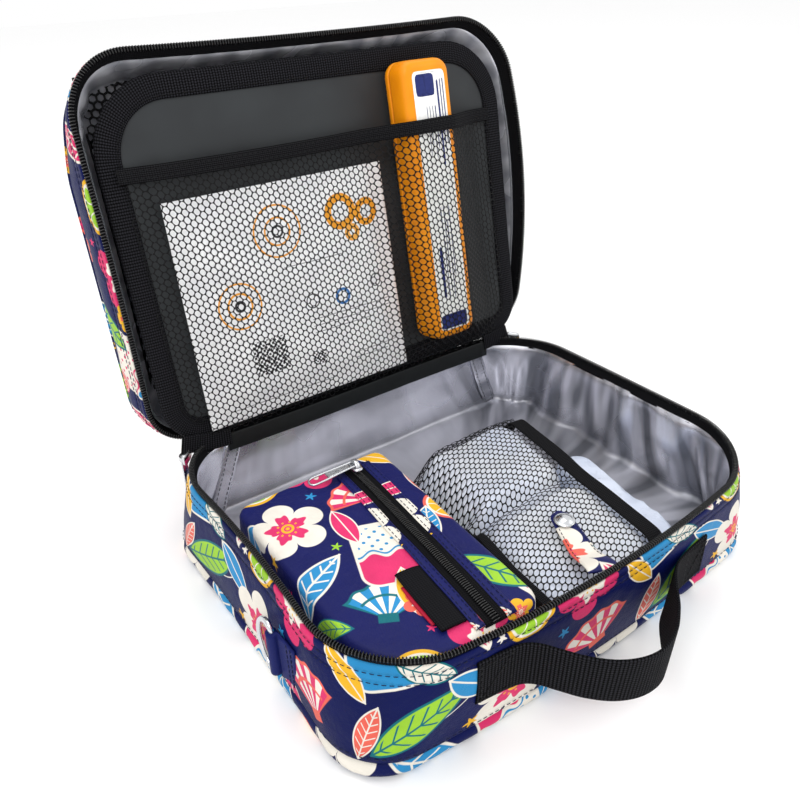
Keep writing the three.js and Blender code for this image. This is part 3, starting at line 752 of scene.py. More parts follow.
def hexnet(name, width, height, pitch, warp, mat, body, hole=0.36, sides=12, inside=None, square=0.0, **kw):
    """Hexagonal net with real holes. warp maps (x, y) in mm of the flat cloth to a 3-D point. inside(x, y) keeps a cell."""
    dx, dy = pitch, pitch * math.sqrt(3) / 2
    V, F, idx = [], [], {}
    area = 0.0
    R = pitch / math.sqrt(3)

    def vert(x, y):
        k = (round(x * 50), round(y * 50))
        if k not in idx:
            idx[k] = len(V)
            V.append((x, y))
        return idx[k]

    for j in range(int(height / dy) + 1):
        for i in range(int(width / dx) + 1):
            cx = i * dx + (dx / 2 if j % 2 else 0.0)
            cy = j * dy
            if inside is not None and not inside(cx, cy):
                continue
            corners = [vert(cx + R * math.cos(math.pi / 6 + k * math.pi / 3), cy + R * math.sin(math.pi / 6 + k * math.pi / 3)) for k in range(6)]
            hr = pitch * hole
            b = len(V)
            for k in range(sides):
                a = math.pi / 6 + 2 * math.pi * k / sides
                hk = hr * (1 + square * math.cos(4 * a))
                V.append((cx + hk * math.cos(a), cy + hk * math.sin(a)))
            per = sides // 6
            for k in range(6):
                c0, c1 = corners[k], corners[(k + 1) % 6]
                if per == 1:
                    F.append((c0, c1, b + (k + 1) % sides, b + k))
                else:
                    s0 = k * per
                    F.append((c0, c1, b + (s0 + per) % sides, b + (s0 + 1) % sides, b + s0))
            area += 0.866 * pitch * pitch - 0.5 * sides * hr * hr * math.sin(2 * math.pi / sides)
    P = [warp(x, y) for x, y in V]
    o = make(name, P, F, mat, body, uv=[(x, y) for x, y in V], smooth=True, **kw)
    return o, area * 1e-6


# ================================================================== BASE
# Fitted plan outlines: the rim (z 61) and the foot (z 0), sampled alike.
O_RIM = outline(134.0, 100.46, 47.4, 50.0, bl=-6.45, br=1.0, bf=13.24, bb=0.4)
O_FOOT = outline(136.0, 102.6, 27.0, 27.0, bl=-2.3, br=0.0, bf=8.0, bb=0.0)
ROLL = 18 + 24
O_RIM = np.roll(O_RIM, -ROLL, 0)
O_FOOT = np.roll(O_FOOT, -ROLL, 0)
RIM = 61.0


def base_plan(z, off):
    t = min(max(z / RIM, 0.0), 1.0)
    return inward(O_FOOT + (O_RIM - O_FOOT) * t, off)


def loft(name, R, mat, body, closed_v=False, flip=False, u=None, v=None, shift=(0.0, 0.0), cap0=False, cap1=False, **kw):
    """R[i, j]: i round the outline (closed), j along the profile. Face UVs in mm, so the print doesn't smear at the join."""
    N, M = R.shape[:2]
    if u is None:
        mid = R[:, M // 2]
        d = np.linalg.norm(np.roll(mid, -1, 0) - mid, axis=1)
        u = np.r_[0, np.cumsum(d)]
    if v is None:
        d = np.linalg.norm(np.diff(np.concatenate([R, R[:, :1]], 1), axis=1), axis=2).mean(0)
        v = np.r_[0, np.cumsum(d)]
    F, UV = [], []
    for i in range(N):
        for j in range(M if closed_v else M - 1):
            a, b = i * M + j, ((i + 1) % N) * M + j
            c, d_ = ((i + 1) % N) * M + (j + 1) % M, i * M + (j + 1) % M
            q = ((u[i], v[j]), (u[i + 1], v[j]), (u[i + 1], v[j + 1]), (u[i], v[j + 1]))
            if flip:
                F.append((a, d_, c, b)); UV += [q[0], q[3], q[2], q[1]]
            else:
                F.append((a, b, c, d_)); UV += list(q)
    V = R.reshape(-1, 3)
    for on, j, rev in ((cap0, 0, not flip), (cap1, M - 1, flip)):
        if on:
            f = [i * M + j for i in range(N)]
            if rev:
                f = f[::-1]
            F.append(tuple(f)); UV += [(V[k][0], V[k][1]) for k in f]
    o = make(name, V, F, mat, body, uv=None, **kw)
    lay = o.data.uv_layers.new(name="UVMap")
    lay.data.foreach_set("uv", (np.asarray(UV, np.float32) + np.asarray(shift, np.float32)).reshape(-1))
    return o


def rings(profile, plan):
    return np.stack([np.c_[plan(z, off), np.full(len(O_RIM), float(z))] for z, off in profile], 1)


S_RIM = arclen(O_RIM)


def plan_normals(P):
    t = np.roll(P, -1, 0) - np.roll(P, 1, 0)
    t /= np.linalg.norm(t, axis=1)[:, None]
    return np.stack([-t[:, 1], t[:, 0]], 1)


N_RIM = plan_normals(O_RIM)

# outer wall: fabric over foam, drawn in by two rows of topstitch under the rim and by the seam at the foot
wall_out = [(9.2, 2.0), (8.9, 1.2), (9.0, 0.5), (9.8, 0.0), (11.2, -0.35), (13.5, -0.55), (17, -0.9), (21, -1.15), (25, -1.3), (30, -1.35), (35, -1.3), (39, -1.15), (43, -0.95), (46.5, -0.75), (48.4, -0.5), (49.4, -0.2), (49.9, 0.05), (50.4, -0.2), (51.4, -0.45), (52.8, -0.45), (53.8, -0.15), (54.3, 0.1), (54.8, -0.1), (55.8, -0.25), (56.9, -0.1), (57.7, 0.25), (58.1, 0.8), (57.9, 1.4)]
wall_in = [(55, 1.7), (45, 1.5), (30, 1.4), (15, 1.5)]
prof = wall_out + wall_in
R = rings(prof, base_plan)
for j, (z, off) in enumerate(prof):
    if j < len(wall_out):
        env = 0.25 + 0.75 * math.sin(math.pi * min(max((z - 9) / 46, 0), 1))
        for i in range(len(O_RIM)):
            s = S_RIM[i]
            w = 1.5 * nz(s / 52, z / 40, 1.3) * env + 0.35 * nz(s / 7.5, z / 9, 5.0) * (1.0 if z > 46 or z < 14 else 0.5)
            R[i, j, :2] -= N_RIM[i] * w
loft("case_wall", R, "print_wall_shaded", "base", closed_v=True, slot="printed_fabric", replaces=("base_outer_fabric",))

# foot: one fabric shell with a rounded edge under the seam
foot = [(9.1, 2.0), (8.8, 1.0), (8.4, 0.45), (7.6, -0.2), (6.4, -0.65), (5.0, -0.75), (3.6, -0.45), (2.3, 0.35), (1.2, 1.6), (0.5, 3.3), (0.15, 5.6), (0.05, 9.0)]
R = [np.c_[base_plan(z, off), np.full(len(O_RIM), z)] for z, off in foot]
flat = base_plan(0.0, 9.0)
for k, z in ((0.92, 0.05), (0.75, 0.05), (0.5, 0.05), (0.25, 0.05), (0.04, 0.05)):
    R.append(np.c_[flat * k, np.full(len(flat), z)])
R = np.stack(R, 1)
for j in range(2, 12):
    for i in range(len(O_RIM)):
        s = S_RIM[i]
        R[i, j, :2] -= N_RIM[i] * (0.5 * nz(s / 9.0, j / 3, 9.0) + 0.8 * nz(s / 40.0, 2.0, 7.0))
loft("case_foot", R, "print_wall_shaded", "base", flip=True, cap1=True, shift=(20.0, -30.0), slot="printed_fabric", replaces=("base_lower_band", "base_bottom_panel"))

# foam and stiffener inside the walls
R = rings([(6.3, 3.6), (6.3, 2.1), (51.5, 2.1), (51.5, 3.4), (30, 3.6)], base_plan)
loft("case_wall_foam", R, "foam", "base", closed_v=True, slot="foam", replaces=("base_foam_wall",))
R = np.stack([np.c_[base_plan(5.0, 4.5) * k, np.full(len(O_RIM), z)] for k, z in ((0.04, 3.2), (0.5, 3.2), (0.99, 3.2), (1.0, 4.4), (0.99, 5.6), (0.5, 5.6), (0.04, 5.6))], 1)
loft("case_floor_foam", R, "foam", "base", flip=True, cap0=True, cap1=True, slot="foam", replaces=("base_foam_floor",))

# zipper tape: a narrow lip outside, a wide band inside that ends over the lining
tape = [(57.0, 1.5), (58.4, 1.0), (59.1, 1.0), (59.6, 1.5), (59.6, 2.3), (59.0, 2.9), (58.0, 3.2), (56.8, 3.6), (55.7, 4.1), (54.9, 4.7), (54.5, 5.0), (54.3, 4.7), (55.0, 4.0), (56.4, 3.1), (57.6, 2.5)]
R = rings(tape, base_plan)
for i in range(len(O_RIM)):
    s = S_RIM[i]
    for j in range(7, 12):
        R[i, j, :2] += N_RIM[i] * 0.5 * nz(s / 18, 0.3, 3.3)
loft("case_zip_tape", R, "tape", "base", closed_v=True, slot="black_webbing", replaces=("base_zip_tape",))
# teeth
CP, _ = resample(np.c_[base_plan(60.2, 1.75), np.full(len(O_RIM), 60.2)], 1.0)
CP = np.array([p for p in CP if not (p[1] > 80 and abs(p[0]) < 84)])
k0 = int(np.argmax(np.linalg.norm(np.roll(CP, -1, 0) - CP, axis=1))) + 1
CP = np.roll(CP, -k0, 0)
coil_chain("case_zip_teeth", CP, (0, 0, 1), "coil", "base", pitch=1.46, w=2.4, h=1.7, th=0.37, slot="zip_coil", replaces=("base_zip_coil",))
# a narrow woven cord behind the teeth
sweep("case_zip_cord", CP + np.array([0, 0, -0.75]), round_section(2.5, 0.9, 0.4), (0, 0, 1), "tape", "base", slot="zip_coil")

# topstitching
for nm, z, off in (("rim_upper", 54.3, -0.35), ("rim_lower", 49.9, -0.4), ("foot", 12.6, -0.95)):
    P = np.c_[base_plan(z, off), np.full(len(O_RIM), z)]
    nr = np.c_[-N_RIM, np.zeros(len(N_RIM))]
    stitches("case_stitch_" + nm, P, nr, "thread", "base", length=2.1, gap=1.1, r=0.19, closed=True, slot="printed_fabric")

# lining: foil-faced sheet, slack and creased, deepest folds on the right wall
LP, LS = resample(O_RIM, 2.4)
lin_prof = [(55.2, 4.4), (54.3, 5.0), (53.0, 5.6), (51.4, 5.9)] + [(z, 6.1) for z in np.arange(49.4, 12, -2.2)] + [(10.6, 6.3), (9.4, 6.7), (8.5, 7.4), (7.9, 8.4), (7.5, 10.5)]


def lining_plan(z, off):
    P = base_plan(z, off)
    Q = np.vstack([P, P[:1]])
    s = np.r_[S_RIM, S_RIM[-1] + np.linalg.norm(O_RIM[0] - O_RIM[-1])]
    return np.stack([np.interp(LS, s, Q[:, 0]), np.interp(LS, s, Q[:, 1])], 1)


LN = plan_normals(LP)
R = np.stack([np.c_[lining_plan(z, off), np.full(len(LP), z)] for z, off in lin_prof], 1)


def sstep(a, b, x):
    t = min(max((x - a) / (b - a), 0.0), 1.0)
    return t * t * (3 - 2 * t)


def ridge(x):
    return 1.0 - 2.0 * abs(x)


for i in range(len(LP)):
    s = LS[i]
    x, y = LP[i]
    right = min(max((x - 92) / 26, 0), 1)
    back = min(max((y - 66) / 25, 0), 1) * (1 - right)
    for j, (z, off) in enumerate(lin_prof):
        top = 0.08 + 0.92 * sstep(0.0, 24.0, 55.5 - z)
        lean = s + 12.0 * nz(s / 60, z / 50, 0.2)
        soft = math.tanh(2.2 * nz(lean / 14, z / 110, 2.2)) * 3.2
        soft2 = 1.1 * nz(lean / 9, z / 70, 8.8)
        crisp = 0.5 * (ridge(nz(lean / 15, z / 60, 5.1)) - 0.6)
        w = right * (soft + soft2 + crisp)
        # long low creases on the back wall
        c1 = ridge(nz((x + 1.4 * z) / 46, (z - 0.3 * x) / 26, 7.1)) - 0.6
        w += back * (2.2 * nz(x / 50, z / 30, 4.4) + 0.8 * c1)
        w += (1 - right) * (1 - back) * (0.7 * soft + 0.6 * soft2 + 0.4 * crisp)
        R[i, j, :2] += LN[i] * max((w + 1.7 * right + 0.5) * top, -0.4)
        if z < 12:
            R[i, j, 2] += 0.3 * nz(s / 9, z, 6.0)
fl = R[:, -1, :2].copy()
extra = []
for k in (0.93, 0.85, 0.75, 0.65, 0.55, 0.45, 0.35, 0.25, 0.15, 0.06):
    q = fl * k
    zz = np.array([7.1 + 0.5 * nz(a / 22, b / 22, 1.5) for a, b in q])
    extra.append(np.c_[q, zz])
R = np.concatenate([R, np.stack(extra, 1)], 1)
lining = loft("case_lining", R, "foil", "base", flip=True, cap1=True, slot="foil_lining", replaces=("base_lining",))

# seam tapes in the back inner corners
for side, sx in (("left", -1), ("right", 1)):
    i0 = int(np.argmin(np.linalg.norm(O_RIM - np.array([sx * 87.0, 100.0]), axis=1)))
    path = []
    for z in np.arange(52.5, 8.0, -1.8):
        p = base_plan(z, 7.3)[i0]
        path.append((p[0] + sx * 0.5 * nz(z / 8, sx, 0.4), p[1] - 0.3 - 0.4 * nz(z / 6, sx, 2.0), z))
    path = np.array(path)
    nrm = N_RIM[i0]
    up = np.array([nrm[0], nrm[1], 0.0])
    sweep("lining_tape_" + side, path, [(-5, -0.2), (-4.8, 0.35), (-3.6, 0.6), (-2.4, 0.5), (0, 0.75), (2.4, 0.5), (3.6, 0.6), (4.8, 0.35), (5, -0.2), (3, -0.5), (-3, -0.5)], up, "foil", "base", slot="foil_lining", replaces=("lining_seam_tape_" + side,))
    t3, side3, _ = frames_along(path, up, False)
    for q in (-3.0, 3.0):
        stitches("lining_tape_stitch_%s_%d" % (side, int(q + 5)), path + side3 * q + up * 0.55, up, "threadgrey2", "base", length=2.3, gap=1.1, r=0.24)

# black strip along the divider's foot
xs = np.linspace(-95, 99, 40)
P = np.array([(x, 91.1 - 0.3 * math.cos(x / 60), 56.2 + 0.35 * math.sin(x / 25)) for x in xs])
sweep("divider_foot_strip", P, round_section(10.6, 1.5, 0.7, 4), (0, -1, 0.12), "strip", "base", slot="board", replaces=("divider_spine_strip",))

for side, path in (("left", [(-121.5, 89.6, 66.0), (-116, 90.4, 64.4), (-109, 91.0, 62.4), (-101, 91.3, 60.8), (-92.5, 91.5, 60.2)]), ("right", [(97, 91.5, 60.2), (104, 91.2, 60.9), (111, 90.8, 62.3), (117, 90.4, 64.0)])):
    PP, _ = resample(np.array(path, float), 1.5, closed=False)
    sweep("divider_foot_binding_" + side, PP, round_section(10.4, 1.7, 0.7, 4), (0, -1, 0.12), "bind", "base", slot="black_webbing")

# sewn hinge: a band of the printed fabric on the outside, from the base wall to the lid wall
xs = np.linspace(-83, 83, 56)
sec = [(101.6, 50.0), (102.1, 54.0), (102.5, 57.0), (102.9, 59.0), (103.9, 60.4), (105.6, 60.9), (108.0, 60.7), (110.5, 60.3), (110.5, 59.6), (107.0, 59.7), (105.0, 59.6), (103.3, 58.2), (102.0, 56.0), (101.1, 50.0)]
V, UVs = [], []
vl = np.r_[0, np.cumsum(np.linalg.norm(np.diff(np.array(sec), axis=0), axis=1))]
for x in xs:
    for k, (y, z) in enumerate(sec):
        V.append((x, y + 0.15 * nz(x / 9, k, 1.0), z)); UVs.append((x, vl[k]))
F = grid_faces(len(xs), len(sec), False, True) + [tuple(range(len(sec))), tuple(reversed(range((len(xs) - 1) * len(sec), len(xs) * len(sec))))]
hinge = make("hinge_band", V, F, "print_wall_shaded", "base", uv=UVs, slot="printed_fabric", ride=False, replaces=("hinge_strip",))
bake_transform(hinge)

# ================================================================== LID
LID_H, LID_HW = 203.6, 134.0


def lid_outline(inset=0.0, step=None):
    """(x, d) anticlockwise seen from the front with d up, starting at the middle of the hinge side."""
    hw, hd = LID_HW, LID_H / 2
    Q = outline(hw, hd, 17.1 + 8, 34.6, bl=0.0, br=10.0, bf=0.0, bb=-2.1, n_arc=16, n_side=34, n_front=48)
    Q = Q + np.array([0.0, hd])
    k = int(np.argmin(np.abs(Q[:, 0]) + 1000 * (Q[:, 1] > 1.0)))
    Q = np.roll(Q, -k, 0)
    return inward(Q, inset)


LO = lid_outline()
LO_N = plan_normals(LO)
LO_S = arclen(LO)


def lidp(x, d, w):
    s = min(max(d / LID_H, 0.0), 1.0)
    k = max(0.0, 1.0 - max(w, 0.0) / 26.0)
    w = w - 7.0 * 4 * s * (1 - s) * k
    return (x, 100.46 + 0.147 * d + 0.989 * w, 61.0 + 0.989 * d - 0.147 * w)


def lid_shrink(d, w):
    """The walls lean in towards the back panel along the lid's top edge."""
    t = min(max((d - 140.0) / 52.0, 0.0), 1.0)
    return 7.0 * t * t * (3 - 2 * t) * min(1.0, max(0.0, w - 1.0) / 20.0)


def lid_off(off, w):
    return LO + LO_N * np.array([off + lid_shrink(d, w) for _, d in LO])[:, None]


def lid_rings(profile, wob=None):
    out = []
    for w, off in profile:
        Q = lid_off(off, w)
        ring = []
        for i, (x, d) in enumerate(Q):
            if wob:
                k = wob(LO_S[i], w, i)
                x, d = x - LO_N[i][0] * k, d - LO_N[i][1] * k
            ring.append(lidp(x, d, w))
        out.append(ring)
    return np.transpose(np.array(out), (1, 0, 2))


lw = [(2.6, 1.4), (2.2, 0.8), (2.4, 0.25), (3.2, -0.05), (4.6, -0.2), (5.6, -0.1), (6.1, 0.1), (6.6, -0.1), (8.2, -0.3), (9.6, -0.2), (10.1, 0.05), (10.6, -0.2), (13, -0.7), (16, -1.0), (19, -0.9), (22, -0.6), (24.6, -0.1), (26.2, 0.6), (26.8, 1.4), (26.4, 2.2), (22, 1.8), (14, 1.4), (7, 1.6)]
R = lid_rings(lw, lambda s, w, i: (0.9 * nz(s / 48, w / 30, 12.0) + 0.3 * nz(s / 8, w / 9, 2.0)) * min(1, max(0, (w - 1) / 6)))
loft("lid_wall", R, "print_wall_shaded", "lid", closed_v=True, flip=True, shift=(45.0, 62.0), slot="printed_fabric", replaces=("lid_outer_fabric",))
# back panel, cushioned, with a rolled seam round it
bp = [(26.6, 2.0), (27.0, 1.0), (27.6, 0.2), (28.4, -0.2), (29.4, 0.2), (30.0, 1.2), (30.4, 2.4), (31.2, 4.0), (31.9, 6.5), (32.4, 10), (32.8, 15)]
R = []
for w, off in bp:
    Q = lid_off(off, w)
    R.append([lidp(x, d, w) for x, d in Q])
last = lid_off(15, 32.8)
c = np.array([2.0, LID_H / 2])
for k in (0.88, 0.7, 0.5, 0.3, 0.12, 0.03):
    Q = c + (last - c) * k
    R.append([lidp(x, d, 33.0 + 0.35 * nz(x / 40, d / 40, 3.0)) for x, d in Q])
R = np.transpose(np.array(R), (1, 0, 2))
o = loft("lid_back", R, "print_wall_shaded", "lid", flip=True, cap1=True, slot="printed_fabric", replaces=("lid_back_panel",))
# planar print on the back panel
lay = o.data.uv_layers["UVMap"].data
li = np.zeros(len(o.data.loops), np.int32); o.data.loops.foreach_get("vertex_index", li)
co = np.zeros(len(o.data.vertices) * 3, np.float32); o.data.vertices.foreach_get("co", co); co = co.reshape(-1, 3) / MM
lay.foreach_set("uv", np.stack([-co[li, 0], co[li, 2]], 1).astype(np.float32).reshape(-1))
# stiffener
R = lid_rings([(13.2, 4.2), (13.2, 2.6), (27.0, 2.8), (30.2, 4.6), (31.0, 9.0), (31.4, 20), (29.0, 20), (28.8, 7.0), (26.5, 4.6)])
loft("lid_foam_pad", R, "foam", "lid", closed_v=True, flip=True, slot="foam", replaces=("lid_foam",))

# lid zipper
lt = [(2.6, 1.3), (1.4, 0.9), (0.9, 1.1), (0.7, 1.7), (0.8, 2.5), (1.4, 3.0), (2.8, 3.2), (4.4, 3.5), (5.8, 4.0), (6.4, 4.5), (6.5, 4.0), (5.6, 3.2), (4.0, 2.4)]
R = lid_rings(lt)
loft("lid_zip_tape_band", R, "tape", "lid", closed_v=True, flip=True, slot="black_webbing", replaces=("lid_zip_tape",))
fr = np.array([0, -0.989, 0.147])
Q, _ = resample(LO + LO_N * 1.75, 1.0)
Q = np.array([q for q in Q if not (q[1] < 20 and abs(q[0]) < 84)])
k0 = int(np.argmax(np.linalg.norm(np.roll(Q, -1, 0) - Q, axis=1))) + 1
Q = np.roll(Q, -k0, 0)
LCP = np.array([lidp(x, d, 0.1) for x, d in Q])
coil_chain("lid_zip_teeth", LCP, fr, "coil", "lid", pitch=1.46, w=2.4, h=1.7, th=0.37, slot="zip_coil", replaces=("lid_zip_coil",))
sweep("lid_zip_cord", LCP - fr * 0.75, round_section(2.5, 0.9, 0.4), fr, "tape", "lid", slot="zip_coil")
for nm, w, off in (("upper", 6.1, -0.25), ("lower", 10.1, -0.3), ("back", 24.0, -0.6)):
    Q = lid_off(off, w)
    P = np.array([lidp(x, d, w) for x, d in Q])
    nr = np.array([np.array(lidp(*(LO[i] - LO_N[i]), w)) - np.array(lidp(*LO[i], w)) for i in range(len(LO))])
    stitches("lid_stitch_" + nm, P, nr, "thread", "lid", length=2.1, gap=1.1, r=0.19, closed=True, slot="printed_fabric")
# shiny piping between tape and lining
Q = LO + LO_N * 5.0
sweep("lid_piping", np.array([lidp(x, d, 6.5) for x, d in Q]), circle_section(0.6, 6), fr, "piping", "lid", closed=True, slot="foil_lining")

# lid lining, gathered at its edge
lp = [(6.2, 4.4), (6.9, 4.9), (8.2, 5.2), (10.0, 5.3), (11.8, 5.4), (13.6, 5.4), (15.5, 5.5), (17.5, 5.6), (19.5, 5.7), (21.5, 5.9), (23.5, 6.3), (25.2, 7.2), (26.4, 8.8), (27.0, 11.5)]
out = []
LQ, LQs = resample(np.c_[LO, LO_N], 2.6)
for w, off in lp:
    ring = []
    for i, (x, d, nx, ny) in enumerate(LQ):
        s = LQs[i]
        k = off + max(1.6 * math.tanh(2.5 * nz(s / 13, w / 40, 7.0)) + 0.7 * nz(s / 7.0, w / 20, 1.0) + 0.4, -0.3) * min(1, max(0, (w - 6) / 6))
        k += lid_shrink(d, w)
        ring.append(lidp(x + nx * k, d + ny * k, w))
    out.append(ring)
last = np.array([(x + nx * (11.5 + lid_shrink(d, 27.0)), d + ny * (11.5 + lid_shrink(d, 27.0))) for x, d, nx, ny in LQ])
for k in (0.93, 0.85, 0.75, 0.62, 0.5, 0.35, 0.2, 0.06):
    Q = c + (last - c) * k
    out.append([lidp(x, d, 27.2 + 0.7 * nz(x / 20, d / 30, 4.0)) for x, d in Q])
R = np.transpose(np.array(out), (1, 0, 2))
o = loft("lid_lining_sheet", R, "foil_lid_lit", "lid", cap1=True, slot="foil_lining", replaces=("lid_lining",))

# lid pocket: net with a bound top edge
def lid_net(x, y):
    # x, y flat cloth coordinates in mm from the lower left corner of the pocket
    x -= 14.0
    climb = max(0.0, -x)
    x = max(x, 0.0)
    X, Dd = x - 121.0 - 0.35 * climb, y + 6.0
    b = 1.0 - (2 * x / 242.0 - 1) ** 2
    a = math.sin(math.pi * min(max(y / 186.0, 0), 1)) ** 0.5 if 0 < y < 186 else 0.0
    w = 25.6 - 7.5 * (max(b, 0) ** 0.6) * a * 0.6 + 0.5 * nz(x / 22, y / 22, 5.0)
    return lidp(X + 1.5, Dd, w - 0.95 * climb)


def in_lid_net(x, y):
    x -= 14.0
    if not (-13 < x < 241 and 1 < y < (184 if x > 1 else 160)):
        return False
    r = 26
    for cx, cy in ((r, r), (242 - r, r)):
        if ((x < r) if cx == r else (x > 242 - r)) and y < r and math.hypot(x - cx, y - cy) > r - 1:
            return False
    return True


o, a = hexnet("lid_pocket_net", 256, 186, 4.05, lid_net, "net", "lid", hole=0.42, sides=6, inside=in_lid_net, slot="net", replaces=("lid_net_pocket",))
o.modifiers.new("thick", "SOLIDIFY").thickness = 0.2 * MM
1.2 * a
P = np.array([lid_net(x, 185.0) for x in np.linspace(14, 256, 60)])
sweep("lid_pocket_edge", P, round_section(1.6, 8.0, 0.7, 3), fr, "band", "lid", slot="black_webbing", replaces=("lid_net_pocket_band",))

# ================================================================== DIVIDER


def pg(x, s, n):
    return (x, 92.6 + 0.1908 * s - 0.9816 * n, 66.0 + 0.9816 * s + 0.1908 * n)


PG_N = np.array([0.0, -0.9816, 0.1908])
PG_S = np.array([0.0, 0.1908, 0.9816])


def rrect(x0, x1, y0, y1, rt, rb, n=16, m=40):
    """Rounded rectangle, anticlockwise from the middle of the lower edge. rt, rb: top and bottom corner radii."""
    out = []
    for cx, cy, a0, r in ((x1 - rb, y0 + rb, -math.pi / 2, rb), (x1 - rt, y1 - rt, 0.0, rt), (x0 + rt, y1 - rt, math.pi / 2, rt), (x0 + rb, y0 + rb, math.pi, rb)):
        for i in range(n + 1):
            a = a0 + i / n * math.pi / 2
            out.append((cx + r * math.cos(a), cy + r * math.sin(a)))
    P, _ = resample(np.array([((x0 + x1) / 2, y0)] + out), 2.0)
    return P


PX0, PX1, PS0, PS1 = -126.4, 128.3, -2.2, 186.3
PO = rrect(PX0, PX1, PS0, PS1, 39.9, 22.0)
PO_N = plan_normals(PO)


def page_ring(n, off):
    Q = PO + PO_N * off
    return np.array([pg(x, s, n) for x, s in Q])


R = []
for n, off, k in ((-0.85, 3.0, 1.0), (-0.8, 5.0, 1.0), (-0.8, 9.0, 1.0), (-0.8, 13.0, 1.0)):
    R.append(page_ring(n, off))
last = PO + PO_N * 13.0
pc = np.array([1.0, 92.0])
for k in (0.9, 0.75, 0.6, 0.45, 0.3, 0.15, 0.04):
    Q = pc + (last - pc) * k
    R.append(np.array([pg(x, s, -0.8 + 0.35 * nz(x / 60, s / 60, 1.0)) for x, s in Q]))
Rb = []
for k in (0.04, 0.3, 0.6, 0.9):
    Q = pc + (last - pc) * k
    Rb.append(np.array([pg(x, s, -2.4) for x, s in Q]))
Rb += [page_ring(-2.4, 9.0), page_ring(-2.4, 3.0)]
R = np.transpose(np.array(Rb + R), (1, 0, 2))
loft("divider_panel", R, "board", "divider", cap0=True, cap1=True, slot="board", replaces=("divider_board",))

# binding: ribbed webbing folded over the edge
sec = [(12.4, -0.7), (12.3, 0.0), (11.6, 0.38), (9.0, 0.55), (6.0, 0.62), (3.0, 0.55), (1.2, 0.25), (0.3, -0.5), (0.0, -1.6), (0.3, -2.7), (1.2, -3.4), (3.0, -3.7), (6.0, -3.75), (9.0, -3.7), (11.6, -3.5), (12.3, -3.1), (12.4, -2.5), (8.0, -2.5), (3.2, -2.3), (3.2, -0.9), (8.0, -0.7)]
R = np.transpose(np.array([page_ring(n, off) for off, n in sec]), (1, 0, 2))
for i in range(len(PO)):
    for j in range(6):
        R[i, j] += PG_N * 0.22 * nz(i / 9, j, 3.0)
loft("divider_edge_binding", R, "bind", "divider", closed_v=True, flip=True, slot="black_webbing", replaces=("divider_binding",))
P = page_ring(0.52, 10.6)
stitches("divider_binding_stitch", P, PG_N, "threadblack", "divider", length=2.6, gap=1.2, r=0.25, closed=True, slot="black_webbing")
P = page_ring(-3.72, 10.6)
stitches("divider_binding_stitch_back", P, -PG_N, "threadblack", "divider", length=2.6, gap=1.2, r=0.25, closed=True, slot="black_webbing")

# flap that ties the divider to the hinge, behind the board
V, UVs = [], []
xs = np.linspace(-101, 101, 50)
sec = [(-1.6, -1.0), (-1.0, 0.3), (0.3, 0.4), (1.4, -1.2), (4, -3.6), (12, -4.2), (28, -4.3), (46, -4.2), (47, -4.6), (46, -5.0), (28, -5.0), (12, -4.9), (3.0, -4.4), (0.2, -2.2)]
for x in xs:
    for k, (s, n) in enumerate(sec):
        V.append(pg(x, s, n)); UVs.append((x, s))
F = grid_faces(len(xs), len(sec), False, True) + [tuple(range(len(sec))), tuple(reversed(range((len(xs) - 1) * len(sec), len(xs) * len(sec))))]
flap = make("divider_hinge_flap", V, F, "strip", "divider_spine", uv=UVs, slot="board", ride=False, replaces=("divider_spine_flap",))
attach(flap, "divider_spine")

# ------------------------------------------------------------------ what the pocket holds
# kit box: two shells that meet in a groove
KX0, KX1, KS0, KS1 = 41.7, 75.6, 13.8, 177.4
KO = rrect(KX0, KX1, KS0, KS1, 8.0, 8.0, n=10)
KO, _ = resample(KO, 1.6)
KN_ = plan_normals(KO)
kc = np.array([(KX0 + KX1) / 2, (KS0 + KS1) / 2])


def kit_cap(off, n, crown=0.0):
    Q0 = KO + KN_ * off
    out = []
    for k in (0.86, 0.66, 0.45, 0.25, 0.06):
        # shrink towards the long middle line, not to a point
        Q = Q0.copy()
        Q[:, 0] = kc[0] + (Q0[:, 0] - kc[0]) * k
        L = (KS1 - KS0) / 2 - off
        Q[:, 1] = kc[1] + np.sign(Q0[:, 1] - kc[1]) * np.minimum(np.abs(Q0[:, 1] - kc[1]), L * (0.9 + 0.1 * k))
        out.append([pg(x, s, n + crown * (1 - k)) for x, s in Q])
    return out


cov = [(7.45, 2.2), (7.45, 0.95), (7.65, 0.4), (8.1, 0.1), (9.2, 0.0), (13.2, 0.05), (16.2, 0.2), (18.2, 0.6), (19.6, 1.25), (20.5, 2.15), (21.1, 3.3), (21.35, 4.4), (21.4, 5.2)]
out = [[pg(x, s, n) for x, s in KO + KN_ * off] for n, off in cov] + kit_cap(5.2, 21.4)
R = np.transpose(np.array(out), (1, 0, 2))
loft("kit_cover", R, "orange", "kit_box", flip=True, cap0=True, cap1=True, slot="orange_plastic", replaces=("kit_box_cover",))
low = [(6.95, 2.2), (6.95, 0.95), (6.75, 0.4), (6.3, 0.1), (5.4, 0.05), (3.9, 0.3), (2.6, 0.9), (1.7, 1.8), (1.15, 3.1), (0.9, 4.6), (0.9, 6.4)]
out = [[pg(x, s, n) for x, s in KO + KN_ * off] for n, off in low] + kit_cap(6.4, 0.9)
R = np.transpose(np.array(out), (1, 0, 2))
loft("kit_tray", R, "orange", "kit_box", cap0=True, cap1=True, slot="orange_plastic", replaces=("kit_box_base",))
# label: one strip of white film with a navy block at each end

